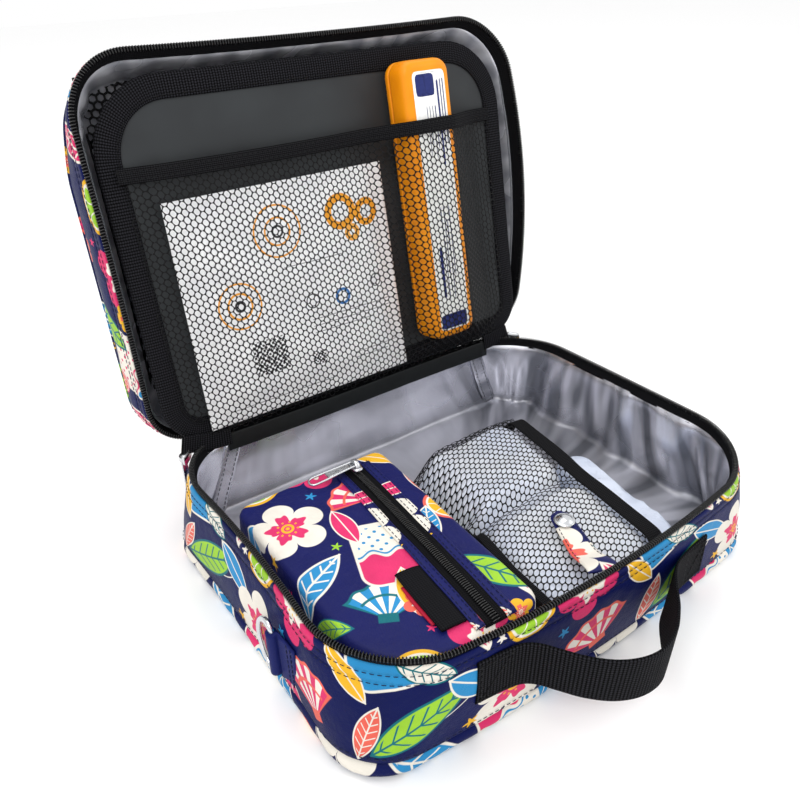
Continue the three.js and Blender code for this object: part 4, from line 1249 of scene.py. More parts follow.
def film(name, x0, x1, s0, s1, r, n, t, mat, replaces=()):
    Q = rrect(x0, x1, s0, s1, r, r, n=6)
    Q, _ = resample(Q, 1.5)
    N2 = plan_normals(Q)
    cc = np.array([(x0 + x1) / 2, (s0 + s1) / 2])
    out = [[pg(x, s, n - t) for x, s in Q], [pg(x, s, n - 0.04) for x, s in Q], [pg(x, s, n) for x, s in Q + N2 * 0.1]]
    for k in (0.6, 0.1):
        Z = Q.copy(); Z[:, 0] = cc[0] + (Q[:, 0] - cc[0]) * k; Z[:, 1] = cc[1] + np.sign(Q[:, 1] - cc[1]) * np.minimum(np.abs(Q[:, 1] - cc[1]), (s1 - s0) / 2 - 1.2)
        out.append([pg(x, s, n) for x, s in Z])
    return loft(name, np.transpose(np.array(out), (1, 0, 2)), mat, "kit_box", flip=True, cap0=True, cap1=True, slot="label", replaces=replaces)


film("kit_label", 47.9, 70.3, 19.5, 170.8, 2.4, 21.62, 0.3, "label", replaces=("kit_box_label",))
film("kit_label_block_top", 49.6, 62.4, 157.4, 169.2, 1.6, 21.72, 0.18, "labelnavy")
film("kit_label_block_low", 48.9, 68.6, 20.6, 29.6, 1.2, 21.72, 0.18, "labelnavy")

for k, (xa, xb, sa_, sb_) in enumerate(((64.0, 65.2, 118, 166), (66.4, 67.0, 126, 167), (68.2, 68.8, 130, 167), (61.4, 62.0, 128, 153), (59.6, 60.0, 122, 153), (57.6, 58.0, 128, 153), (55.6, 56.0, 124, 153), (53.0, 55.0, 40, 72), (57.2, 57.7, 38, 96), (59.2, 59.7, 44, 96), (61.2, 61.7, 38, 88), (63.2, 63.7, 52, 96))):
    film("kit_label_rule_%d" % k, xa, xb, sa_, sb_, 0.2, 21.72, 0.14, "labelnavy")

# flat supply packet: a thin sealed film envelope, slightly puffed, flat at its sealed edges
QX0, QX1, QS0, QS1 = -101.4, 31.0, 1.2, 126.1


def packet_pt(i, j, NU, NV, front):
    a, b = i / (NU - 1), j / (NV - 1)
    x = QX0 + (QX1 - QX0) * a + (-1.6 * (1 - b)) * (1 - a)
    s = QS0 + (QS1 - QS0) * b
    e = min(a, 1 - a) * (QX1 - QX0)
    g = min(b, 1 - b) * (QS1 - QS0)
    rim = min(1.0, max(0.0, (min(e, g) - 4.0) / 14.0))
    rim = rim * rim * (3 - 2 * rim)
    puff = 1.35 * rim
    wr = 0.45 * nz(x / 26, s / 17, 2.0) + 0.18 * nz(x / 7, s / 7, 6.0)
    n = 2.4 + (puff + wr * (0.3 + 0.7 * rim) + 0.25 if front else -puff * 0.7 - 0.25)
    return pg(x, s, n)


NU, NV = 90, 84
V = [packet_pt(i, j, NU, NV, True) for i in range(NU) for j in range(NV)] + [packet_pt(i, j, NU, NV, False) for i in range(NU) for j in range(NV)]
F = grid_faces(NU, NV, flip=False)
F2 = grid_faces(NU, NV, base=NU * NV, flip=True)
edge = [(i * NV, (i + 1) * NV) for i in range(NU - 1)] + [((NU - 1) * NV + j, (NU - 1) * NV + j + 1) for j in range(NV - 1)] + [((i + 1) * NV + NV - 1, i * NV + NV - 1) for i in range(NU - 1)] + [(j + 1, j) for j in range(NV - 1)]
B = NU * NV
F3 = [(b, a, a + B, b + B) for a, b in edge]
pk = make("packet_film", V, F + F2 + F3, "packet", "packet", slot="packet_film", replaces=("supply_packet",))


# ------------------------------------------------------------------ pocket of the divider
def tent(x, s):
    base = 0.9
    # packet, and the way it slides out at the top
    dx = max(QX0 - 1 - x, x - QX1 - 1, 0)
    ds = max(QS0 - s, 0.0)
    pkt = 4.9 - 0.9 * math.hypot(dx, ds)
    # kit box
    dxl = max(KX0 + 2.0 - x, 0.0) * 0.86
    dxr = max(x - KX1 + 2.0, 0.0) * 0.70
    dsl = max(KS0 + 2.5 - s, 0.0) * 1.30
    kit = 22.5 - math.hypot(dxl + dxr, dsl)
    vals = [base, pkt, kit]
    m = max(vals)
    k = 1.6
    return m + math.log(sum(math.exp((v - m) / k) for v in vals)) * k * 0.35


def edge_fade(x, s):
    e = min(x + 113.5, 114.5 - x, s + 2.6)
    return min(1.0, max(0.0, e / 9.0)) ** 0.7


def pocket_pt(x, s):
    t = tent(x, s)
    f = edge_fade(x, s)
    n = 0.75 + (t - 0.75) * f + 0.35 * nz(x / 15, s / 15, 8.0) * f
    r = min(max((x - 82) / 10, 0), 1) * min(max((s - 8) / 20, 0), 1)
    n += r * f * 1.3 * (ridge(nz((x + 0.45 * s) / 13, s / 70, 4.2)) - 0.5)
    return pg(x, s, n)


# the lattice stands with one row direction up the divider, slightly turned
to_page, LW, LH, LDET = lattice((-0.25, 3.9), (-3.2, 2.3), 4.05, -118, 118, -5, 142)


def warp_page(x, y):
    X, S = to_page(x, y)
    return pocket_pt(X, S)


def in_page(x, y):
    X, S = to_page(x, y)
    if not (-115.2 < X < 116.0 and -2.4 < S < 140.5):
        return False
    for sx in (-1, 1):
        cx = (PX0 + 22.0) if sx < 0 else (PX1 - 22.0)
        cy = PS0 + 22.0
        if (X - cx) * sx > 0 and S < cy and math.hypot(X - cx, S - cy) > 11.5:
            return False
    return True


o, a = hexnet("divider_pocket_net", LW, LH, 4.05, warp_page, "net", "divider", hole=0.45, sides=12, square=0.06, inside=in_page, slot="net", replaces=("divider_net_pocket",))
o.modifiers.new("thick", "SOLIDIFY").thickness = 0.2 * MM
o.modifiers["thick"].offset = 1.0

# elastic band along the pocket's top edge
xs = np.linspace(-118.5, 117.0, 120)
R = []
bsec = [(-3.9, 0.2), (-3.7, 0.95), (-2.6, 1.2), (-1.9, 0.95), (-1.2, 1.25), (0.0, 1.3), (1.2, 1.25), (1.9, 0.95), (2.6, 1.2), (3.7, 0.95), (3.9, 0.2), (3.5, -0.2), (0.0, -0.25), (-3.5, -0.2)]
ctr = []
for x in xs:
    sag = 1.1 * (1 - ((x + 40) / 78) ** 2) if -118 < x < 38 else 0.0
    s = 141.6 - max(sag, 0.0)
    e = min((x + 119.5) / 12, (118.0 - x) / 12, 1.0)
    n = 0.9 + (tent(x, 141.0) - 0.9) * max(e, 0.0) ** 0.8
    if x < 26:
        n = min(n, 0.9 + max(4.2, 22.5 - (KX0 + 2 - x) * 0.86))
    ctr.append((x, s, n + 0.5))
ctr = np.array(ctr)
# soften the run of the band
for _ in range(3):
    ctr[1:-1] = (ctr[:-2] + 2 * ctr[1:-1] + ctr[2:]) / 4
pts = np.array([pg(*c) for c in ctr])
tt = np.gradient(ctr[:, 2], ctr[:, 0])
for i, c in enumerate(ctr):
    k = 1 / math.sqrt(1 + tt[i] ** 2)
    R.append([pg(c[0] - tt[i] * k * m, c[1] + q, c[2] + m * k) for q, m in bsec])
R = np.array(R)
UVs = []
sl = np.r_[0, np.cumsum(np.linalg.norm(np.diff(pts, axis=0), axis=1))]
for i in range(len(xs)):
    for q, m in bsec:
        UVs.append((sl[i], q))
F = grid_faces(len(xs), len(bsec), False, True) + [tuple(range(len(bsec))), tuple(reversed(range((len(xs) - 1) * len(bsec), len(xs) * len(bsec))))]
make("divider_pocket_band", R.reshape(-1, 3), F, "band", "divider", uv=UVs, slot="black_webbing", replaces=("divider_elastic_band",))
for nm, q in (("a", -1.9), ("b", 1.9)):
    P = np.array([pg(c[0] - tt[i] * 1.05 / math.sqrt(1 + tt[i] ** 2), c[1] + q, c[2] + 1.05 / math.sqrt(1 + tt[i] ** 2)) for i, c in enumerate(ctr)])
    stitches("divider_band_stitch_" + nm, P, PG_N, "threadblack", "divider", length=2.0, gap=0.9, r=0.24, slot="black_webbing")

# ================================================================== POUCH


def pillow(name, outline2, zlo, zhi, edge, mat, body, crown=1.5, side_bulge=1.2, step=3.0, noise_amp=0.6, seed=1.0, uvshift=(0, 0), dent=None, slot=None, replaces=()):
    """A soft block: plan outline lofted with rounded edges, crowned faces and sides that belly out."""
    Q, s = resample(np.array(outline2, float), step)
    N2 = plan_normals(Q)
    c = np.array([(Q[:, 0].min() + Q[:, 0].max()) / 2, (Q[:, 1].min() + Q[:, 1].max()) / 2])
    prof = []
    for a in np.linspace(0, math.pi / 2, 6):
        prof.append((zlo + edge * (1 - math.sin(a)), edge * (1 - math.cos(a))))
    prof = [(z, off) for z, off in prof][::-1]
    # from the underside up
    low = [(zlo + edge * (1 - math.cos(a)), edge * (1 - math.sin(a))) for a in np.linspace(0, math.pi / 2, 6)]
    up = [(zhi - edge * (1 - math.sin(a)), edge * (1 - math.cos(a))) for a in np.linspace(0, math.pi / 2, 7)]
    mid = [(z, 0.0) for z in np.linspace(zlo + edge, zhi - edge, 8)[1:-1]]
    rows = low + mid + up
    out = []
    for z, off in rows:
        f = math.sin(math.pi * (z - zlo) / (zhi - zlo))
        P = Q + N2 * (off - side_bulge * f)
        for i in range(len(P)):
            w = noise_amp * nz(s[i] / 28, z / 18, seed) * f
            P[i] -= N2[i] * w
        out.append(np.c_[P, np.full(len(P), z)])
    top0 = Q + N2 * edge
    for k in (0.93, 0.84, 0.72, 0.6, 0.48, 0.36, 0.24, 0.12, 0.03):
        P = c + (top0 - c) * k
        z = [zhi + crown * (1 - k * k) + noise_amp * 1.1 * nz(x / 26, y / 26, seed + 4) * (1 - k ** 4) - (dent(x, y) if dent else 0.0) for x, y in P]
        out.append(np.c_[P, z])
    under = []
    for k in (0.03, 0.3, 0.6, 0.9):
        P = c + (top0 - c) * k
        under.append(np.c_[P, np.full(len(P), zlo)])
    R = np.transpose(np.array(under + out), (1, 0, 2))
    o = loft(name, R, mat, body, cap0=True, cap1=True, slot=slot, replaces=replaces)
    # planar UVs on top, wrapped on the sides
    me = o.data
    n = len(me.loops)
    li = np.zeros(n, np.int32); me.loops.foreach_get("vertex_index", li)
    co = np.zeros(len(me.vertices) * 3, np.float32); me.vertices.foreach_get("co", co); co = co.reshape(-1, 3) / MM
    ctr = co[:, :2] - c
    ext = np.clip(zhi - co[:, 2], 0, None)
    d = ctr / np.maximum(np.linalg.norm(ctr, axis=1), 1e-3)[:, None]
    uv = co[:, :2] + d * ext[:, None] * 0.9 + np.asarray(uvshift)
    me.uv_layers["UVMap"].data.foreach_set("uv", uv[li].astype(np.float32).reshape(-1))
    return o


def rr4(x0, x1, y0, y1, r):
    """Rounded rectangle; r for (+x+y, -x+y, -x-y, +x-y)."""
    out = []
    for cx, cy, q, R_ in ((x1 - r[0], y1 - r[0], 0, r[0]), (x0 + r[1], y1 - r[1], 1, r[1]), (x0 + r[2], y0 + r[2], 2, r[2]), (x1 - r[3], y0 + r[3], 3, r[3])):
        for i in range(13):
            a = (q + i / 12) * math.pi / 2
            out.append((cx + R_ * math.cos(a), cy + R_ * math.sin(a)))
    return out


POUCH_TOP = 53.4
_ol = [(x - max(0.0, (x + 72) / 44.5) * ((38 - y) / 138) * 7.5, y) for x, y in rr4(-117, -27.5, -100.5, 38, (6, 8, 36, 8))]
pouch = pillow("pouch_shell", _ol, 7.6, POUCH_TOP, 3.4, "print", "pouch", crown=1.5, side_bulge=1.0, noise_amp=0.8, seed=3.0, uvshift=(31, 12), slot="printed_fabric", replaces=("pouch_body",))


def tree_of(o):
    me = o.data
    co = np.zeros(len(me.vertices) * 3, np.float32)
    me.vertices.foreach_get("co", co)
    return BVHTree.FromPolygons([Vector(c) for c in co.reshape(-1, 3).tolist()], [tuple(p.vertices) for p in me.polygons])


POUCH_TREE = tree_of(pouch)


def pouch_z(x, y):
    """Height of the pouch's top at a point, in mm."""
    hit = POUCH_TREE.ray_cast(Vector((x * MM, y * MM, 0.2)), Vector((0, 0, -1)))[0]
    return hit.z / MM if hit is not None and hit.z > 0.045 else 50.5


ZO, ZT = np.array([-56.2, -39.0]), math.radians(4.4)
ZX, ZY = math.sin(ZT), math.cos(ZT)


def zp(u, v, h=0.0):
    """A point beside the zipper: u across it, v along it, h above the pouch."""
    x, y = ZO[0] + u * ZY + v * ZX, ZO[1] - u * ZX + v * ZY
    return (x, y, pouch_z(x, y) + h)


# welts beside the zipper, folded and topstitched
vs = np.linspace(-60.5, 69, 64)
for side, uc, wd in (("left", -8.0, 5.0), ("right", 8.3, 5.6)):
    P = np.array([zp(uc, v, 0.85) for v in vs])
    sweep("pouch_strip_" + side, P, round_section(wd, 1.1, 0.5, 3), (0, 0, 1), "print", "pouch", slot="printed_fabric", replaces=("pouch_welt_" + side,))
    for k, q in enumerate((-1.45, 1.45)):
        PP = np.array([zp(uc + q, v, 1.46) for v in vs])
        stitches("pouch_stitch_%s_%d" % (side, k), PP, (0, 0, 1), "thread", "pouch", length=2.2, gap=1.0, r=0.2, slot="printed_fabric")
P = np.array([zp(0.0, v, 0.7) for v in np.linspace(-61, 71, 66)])
sweep("pouch_tape", P, round_section(11.4, 0.8, 0.38, 3), (0, 0, 1), "tape", "pouch", slot="black_webbing", replaces=("pouch_zip_tape",))
P = np.array([zp(0.0, v, 1.6) for v in np.linspace(-60.5, 69.5, 130)])
coil_chain("pouch_teeth", P, (0, 0, 1), "coil", "pouch", pitch=1.3, w=3.8, h=1.2, th=0.42, slot="zip_coil", replaces=("pouch_zip_coil",))
sweep("pouch_cord", P + np.array([0, 0, -0.4]), round_section(3.0, 0.7, 0.3, 2), (0, 0, 1), "tape", "pouch", slot="zip_coil")

# folded woven label, bare, sewn under the left welt
vs = np.linspace(-54.5, -16.8, 24)
R, UVs = [], []
lsec = [(-10.6, 1.0), (-12.2, 1.55), (-14.4, 2.0), (-17.4, 2.35), (-20.6, 2.5), (-23.0, 2.35), (-23.9, 1.75), (-23.2, 1.2), (-20.2, 1.05), (-16.2, 0.85), (-11.2, 0.55)]
for v in vs:
    for u, h in lsec:
        R.append(zp(u, v, h + 0.15 * (abs(v + 35) / 18) ** 2)); UVs.append((v, u))
F = grid_faces(len(vs), len(lsec), False, True) + [tuple(range(len(lsec))), tuple(reversed(range((len(vs) - 1) * len(lsec), len(vs) * len(lsec))))]
make("pouch_tag", R, F, "tag", "pouch", uv=UVs, slot="label", replaces=("pouch_label",))
P = np.array([zp(-23.6 - 0.5 * math.sin(math.pi * t), -49 + 25 * t, 0.85) for t in np.linspace(0, 1, 14)])
sweep("pouch_tag_edge", P, round_section(2.6, 0.9, 0.4, 3), (0, 0, 1), "tagred", "pouch", slot="label")


# ------------------------------------------------------------------ zipper sliders and pulls
def place(P, origin, basis):
    """Local points (x out of the tape, y along the zip, z up the pull's side) to the frame."""
    P = np.asarray(P, float)
    B = np.array(basis, float)
    return P @ B + np.asarray(origin, float)


def slider(name, origin, basis, hy, hz, body, node):
    """A zipper slider: a waisted plate with a raised bridge."""
    V, F = [], []
    # plate: heart-shaped outline, along y
    n = 28
    ol = []
    for i in range(n):
        a = 2 * math.pi * i / n
        y, z = math.cos(a), math.sin(a)
        y = math.copysign(abs(y) ** 0.6, y) * hy
        z = math.copysign(abs(z) ** 0.6, z) * hz * (0.86 + 0.14 * (y / hy)) * (1 - 0.12 * (1 - (y / hy) ** 2))
        ol.append((y, z))
    for x, k in ((0.1, 0.9), (0.5, 1.0), (1.5, 1.0), (1.95, 0.9), (2.05, 0.7)):
        for y, z in ol:
            V.append((x, y * k, z * k))
    for j in range(4):
        for i in range(n):
            F.append((j * n + i, j * n + (i + 1) % n, (j + 1) * n + (i + 1) % n, (j + 1) * n + i))
    F.append(tuple(reversed(range(n)))); F.append(tuple(range(4 * n, 5 * n)))
    # bridge: a bent strap over the plate, along y
    arc = [(1.6, -3.6), (2.6, -3.4), (3.9, -2.6), (4.7, -1.2), (4.9, 0.0), (4.7, 1.2), (3.9, 2.6), (2.6, 3.4), (1.6, 3.6)]
    b0 = len(V)
    for k, (x, y) in enumerate(arc):
        d = np.array(arc[min(k + 1, 8)]) - np.array(arc[max(k - 1, 0)]); d = d / np.linalg.norm(d)
        nx, ny = d[1], -d[0]
        w = 1.15 if 0 < k < 8 else 1.4
        for q, r in ((-0.32, -w), (0.0, -w - 0.15), (0.32, -w), (0.42, 0.0), (0.32, w), (0.0, w + 0.15), (-0.32, w)):
            V.append((x + nx * q, y + ny * q, r))
    for k in range(8):
        for q in range(7):
            F.append((b0 + 7 * k + q, b0 + 7 * k + 7 + q, b0 + 7 * k + 7 + (q + 1) % 7, b0 + 7 * k + (q + 1) % 7))
    F.append(tuple(b0 + q for q in range(7))); F.append(tuple(reversed([b0 + 56 + q for q in range(7)])))
    return make(name, place(V, origin, basis), F, "metal", body, slot="bright_metal", replaces=(node,))


def pull(name, origin, basis, length, w, body, node, tilt=0.0, loop=True):
    """A stamped pull: an eye over the bar, a plate with a raised rim, and an open loop at its far end. It lies along local z from the bar at (3.2, 0, 0)."""
    V, F = [], []

    def tube(path, r, closed=False, flat=1.0):
        P = np.array(path, float)
        t, side, upn = frames_along(P, np.array([1.0, 0.0, 0.0]), closed)
        m = 8
        b = len(V)
        for i in range(len(P)):
            for k in range(m):
                a = 2 * math.pi * k / m
                V.append(tuple(P[i] + side[i] * math.cos(a) * r + upn[i] * math.sin(a) * r * flat))
        for i in range(len(P) if closed else len(P) - 1):
            for k in range(m):
                F.append((b + i * m + k, b + i * m + (k + 1) % m, b + ((i + 1) % len(P)) * m + (k + 1) % m, b + ((i + 1) % len(P)) * m + k))
        if not closed:
            F.append(tuple(b + k for k in reversed(range(m)))); F.append(tuple(b + (len(P) - 1) * m + k for k in range(m)))

    L = length
    # bar and outline wire
    tube([(3.2, y, 0.0) for y in np.linspace(-2.5, 2.5, 6)], 0.7)
    ol = []
    hw0, hw1 = 2.2, w / 2 - 0.6
    for t in np.linspace(0, 1, 14):
        z = t * (L - hw1 - 0.6)
        ol.append((3.2, hw0 + (hw1 - hw0) * (3 * t * t - 2 * t ** 3), z))
    cz = L - hw1 - 0.6
    for a in np.linspace(math.pi / 2, -math.pi / 2, 13)[1:-1]:
        ol.append((3.2, hw1 * math.sin(a), cz + hw1 * math.cos(a)))
    for t in np.linspace(1, 0, 14):
        z = t * (L - hw1 - 0.6)
        ol.append((3.2, -(hw0 + (hw1 - hw0) * (3 * t * t - 2 * t ** 3)), z))
    tube(ol, 0.62)
    # web plate between the wires
    p0, p1 = L * 0.14, L * 0.62
    zs = np.linspace(p0, p1, 12)
    b = len(V)
    for x in (2.85, 3.5):
        for z in zs:
            t = z / (L - hw1 - 0.6)
            h = hw0 + (hw1 - hw0) * (3 * t * t - 2 * t ** 3)
            for y in np.linspace(-h, h, 7):
                V.append((x + (0.12 if x > 3 else -0.12) * (1 - (y / h) ** 2), y, z))
    m = 7
    for q in (0, 1):
        for i in range(11):
            for j in range(6):
                a = b + q * 84 + i * m + j
                f = (a, a + 1, a + m + 1, a + m)
                F.append(f if q == 0 else f[::-1])
    for i in range(11):
        for j in (0, 6):
            a = b + i * m + j
            f = (a, a + m, a + 84 + m, a + 84)
            F.append(f if j == 0 else f[::-1])
    for i, rev in ((0, True), (11, False)):
        for j in range(6):
            a = b + i * m + j
            f = (a, a + 1, a + 85, a + 84)
            F.append(f if rev else f[::-1])
    P = np.array(V)
    if tilt:
        c_, s_ = math.cos(tilt), math.sin(tilt)
        x, z = P[:, 0] - 3.2, P[:, 2].copy()
        P[:, 0] = 3.2 + x * c_ - z * s_
        P[:, 2] = x * s_ + z * c_
    return make(name, place(P, origin, basis), F, "metal", body, slot="bright_metal", replaces=(node,))


# rows of the basis are the directions of local x, y, z
bp_ = [(0, 0, 1), (ZX, ZY, 0), (-ZY, ZX, 0)]
_so = (-56.2 + 64 * ZX, -39 + 64 * ZY, 57.3)
slider("pouch_slider_body", _so, bp_, 5.2, 3.9, "pouch_slider", "pouch_zip_slider")
pull("pouch_pull_tab", _so, bp_, 28.0, 7.4, "pouch_pull", "pouch_zip_pull", tilt=math.radians(5))
cornerY = 100.5 - 48
for side, sx in (("left", -1), ("right", 1)):
    a = 3 * math.pi / 4 if sx < 0 else math.pi / 4
    c_, s_ = math.cos(a), math.sin(a)
    r = 48.35
    org = (sx * (134 - 48) + r * c_, cornerY + r * s_, 59.6)
    bs = [(c_, s_, 0), (-s_, c_, 0), (0, 0, 1)]
    slider("main_slider_body_" + side, org, bs, 4.6, 4.1, "slider_" + side, "main_zip_slider_" + side)
    bs2 = [(c_, s_, 0), (s_, -c_, 0), (0, 0, -1)]
    pull("main_pull_tab_" + side, org, bs2, 24.0, 6.6, "pull_" + side, "main_zip_pull_" + side)


# ================================================================== COOLING PACKS AND THEIR NET
NY0, NY1 = -95.5, 37.0


def nl(y):
    return -21 + 7 * (y - NY0) / (NY1 - NY0) - 6.5 * (1 - min(max((y + 70) / 50, 0), 1))


def nr_(y):
    return 53.5 + 18.5 * (y - NY0) / (NY1 - NY0)


def slant(inset, y0, y1, r, left, right, wide=80, n=10):
    out = []
    for x, y in rr4(0, wide, y0, y1, (r, r, r, r)):
        L_, R_ = left(y) + inset, right(y) - inset
        out.append((L_ + (R_ - L_) * x / wide, y))
    return out


NF = -104.0


def crease_y(u):
    return -35.5 + 4.5 * math.sin(math.pi * 0.9 * min(max(u, 0), 1))


def net_top(x, y):
    """Height of the net over the packs: two mounds, a crease between them, held at both sides."""
    L_, R_ = nl(y), nr_(y)
    u = min(max((x - L_) / (R_ - L_), 0.0), 1.0)
    yc = crease_y(u)
    b = sstep(yc - 3, yc + 6, y)
    mound_b = 43.4 - 4.2 * abs(2 * u - 1.15) ** 2.2 - 0.0006 * (y - 14) ** 2
    mound_f = 41.2 - 2.0 * abs(2 * u - 1.0) ** 2.4 - 0.0007 * (y + 68) ** 2
    crown = mound_f + (mound_b - mound_f) * b
    crown -= math.exp(-((y - yc) / 4.6) ** 2) * (7.0 * (1 - 0.85 * u))
    # the back mound falls away at its left
    crown -= 15.0 * (1 - sstep(0.0, 0.26, u)) * sstep(yc + 2, yc + 16, y)
    ef = sstep(NF - 0.5, NF + 7, y)
    eb = 1 - sstep(NY1 - 9, NY1 + 0.5, y)
    z = 12 + (crown - 12) * (min(ef, eb) ** 0.55)
    z += 0.9 * nz(x / 15, y / 13, 3.3) * min(u, 1 - u) * 3 * min(ef, eb)
    return z


def gel(name, node, y0, y1, left, right, top, r=14, inset=2.4, body="base", seed=1.0, roll=16.0, side=24.0, wide=80, mat="gel"):
    """A puffed pack: rings drawn in from its outline, with a rounded shoulder up to the given top surface."""
    ol = np.array(slant(inset, y0, y1, r, left, right, wide), float)
    ol, _ = resample(np.c_[ol, np.zeros(len(ol))], 3.0)
    ol = ol[:, :2]
    c = np.array([(left((y0 + y1) / 2) + right((y0 + y1) / 2)) / 2, (y0 + y1) / 2])
    far = np.linalg.norm(ol - c, axis=1)
    R = []
    for z, back in ((7.7, 9.0), (7.9, 5.0), (8.8, 2.0), (11.0, 0.6), (15.0, 0.0), (side, 0.1)):
        Q = ol + (c - ol) / far[:, None] * back
        R.append(np.c_[Q, np.full(len(Q), z)])
    for t in [0.03, 0.07, 0.12, 0.18, 0.25, 0.33, 0.42, 0.52, 0.63, 0.75, 0.87, 0.97] + [1.0 + 0.22 * k for k in range(1, 40)]:
        back = roll * t
        sc = np.maximum(far - back, 0.0) / far
        if sc.max() < 0.03:
            break
        f = math.sqrt(max(0.0, 1 - (1 - min(t, 1.0)) ** 2))
        ring = []
        for o_, k in zip(ol, sc):
            x, y = c + (o_ - c) * max(k, 0.012)
            lim = top(x, y) - 0.35 * (1 + nz(x / 7, y / 7, seed)) - 0.6 * abs(nz(x / 13, y / 11, seed + 4))
            ring.append((x, y, side + (lim - side) * f))
        R.append(np.array(ring))
    R = np.stack(R, 1)
    o = loft(name, R, mat, body, cap0=True, cap1=True, flip=True, slot="gel_film", replaces=(node,))
    return o


def under_net(x, y):
    return net_top(x, y) - 1.2


gel("pack_front", "gel_pack_front", NF + 2.6, -33.4, nl, nr_, under_net, seed=11.0, roll=9.0, side=22.0)
gel("pack_back", "gel_pack_back", -31.0, NY1 - 2.6, nl, nr_, under_net, seed=17.0, roll=11.0, side=14.0)


def side_top(x, y):
    # a lying bag with shallow crosswise creases
    return 30.5 + 1.2 * nz(x / 30, y / 26, 2.0) + 1.0 * (ridge(nz(x / 24 + y / 60, y / 11, 31.0)) - 0.6)


gel("pack_side", "gel_pack_side", -95, -8, lambda y: nr_(y) - 1.5, lambda y: nr_(y) + 22.5, side_top, r=10, inset=0.0, body="side_pack", seed=23.0, roll=6.0, side=22.0, wide=24, mat="gel_side_shaded")


# the cloth follows the drop at the back and front: its length is walked along the surface
yy = np.linspace(NF, NY1, 500)
zz = np.array([net_top(30.0, q) for q in yy])
arc_ = np.r_[0, np.cumsum(np.hypot(np.diff(yy), np.diff(zz)))]
NET_L = float(arc_[-1])


def net_warp(x, y):
    Y = float(np.interp(y, arc_, yy))
    u = x / 90.0
    L_, R_ = nl(Y), nr_(Y)
    # the back corners are rounded in; the left side runs on beneath the pouch's edge behind the crease
    e = sstep(NY1 - 14, NY1, Y)
    R_ -= 7 * e
    L_ += 4 * e - 6.0 * sstep(-40, -20, Y)
    X = L_ + u * (R_ - L_)
    return (X, Y, net_top(X, Y))


to_cloth, PLW, PLH, PDET = lattice((2.4, -1.9), (4.7, 1.75), 4.05, 0, 90, 0, NET_L)


def in_pack_net(x, y):
    a_, b_ = to_cloth(x, y)
    return 0.5 < a_ < 89.5 and 0.5 < b_ < NET_L - 0.5


o, a = hexnet("pack_net_cloth", PLW, PLH, 4.05, lambda x, y: net_warp(*to_cloth(x, y)), "net", "base", hole=0.45, sides=12, inside=in_pack_net, slot="net", replaces=("pack_net",))
o.modifiers.new("thick", "SOLIDIFY").thickness = 0.2 * MM
o.modifiers["thick"].offset = 1.0
1.35 * max(a * PDET, 0.31 * 0.09 * NET_L * MM)

# binding at the net's left edge and wide ribbed band at its right edge
ys = np.linspace(-103, 26, 76)
P = np.array([(nl(y) + 1.2 - 6.0 * sstep(-40, -20, y), y, min(net_top(nl(y) + 2, y) + 0.9, 42.0)) for y in ys])
sweep("pack_net_edge", P, round_section(5.4, 1.3, 0.6, 3), (0, 0, 1), "band", "base", slot="black_webbing", replaces=("pack_net_binding",))
ys = np.linspace(-103, -24, 50)
R = []
for y in ys:
    x, zt_ = nl(y) + 1.2 - 6.0 * sstep(-40, -20, y), net_top(nl(y) + 2, y)
    R += [(x - 1.6, y, 8.5), (x - 1.4, y, (zt_ + 8) / 2), (x - 1.2, y, zt_ + 0.4), (x - 0.5, y, zt_ + 0.4), (x - 0.6, y, (zt_ + 8) / 2), (x - 0.8, y, 8.5)]
F = grid_faces(len(ys), 6, False, True) + [tuple(range(6)), tuple(reversed(range((len(ys) - 1) * 6, len(ys) * 6)))]
make("pack_net_skirt", R, F, "net", "base", slot="net")
# the wide band is stretched straight over the crease and turns down at its back end
ys = np.linspace(-103.5, 32.5, 84)
zb = np.array([min(net_top(nr_(y) - 5, y) + 1.3, 42.3) for y in ys])
K_ = np.exp(-((np.arange(-24, 25) / 9.0) ** 2))
zs = np.convolve(np.pad(zb, 24, mode="edge"), K_ / K_.sum(), mode="valid")
zb = np.where(ys > 12, zb, np.maximum(zs, zb))
K_ = np.exp(-((np.arange(-6, 7) / 2.6) ** 2))
zb = np.convolve(np.pad(zb, 6, mode="edge"), K_ / K_.sum(), mode="valid")
P = np.array([(nr_(y) - 4.0, y, z + 0.2 * nz(y / 20, 1, 2) - 0.05 * max(y - 20.0, 0.0) ** 2) for y, z in zip(ys, zb)])
o = sweep("pack_net_wide_band", P, round_section(9.4, 1.4, 0.65, 3), (0.0, 0, 1), "band", "base", slot="black_webbing", replaces=("pack_net_band",))

# ================================================================== SNAP STRAP
S0, S1 = np.array([-0.5, -105.5]), np.array([20.5, -56.0])
sd = (S1 - S0) / np.linalg.norm(S1 - S0)
sn = np.array([sd[1], -sd[0]])
SL = float(np.linalg.norm(S1 - S0))


def strap_hw(l):
    return 8.0 - 2.6 * min(l / SL, 1.0)


def strap_z(l):
    return 44.4 + 8.0 * (1 - sstep(0, 24, l)) + 0.35 * math.sin(l / 9)


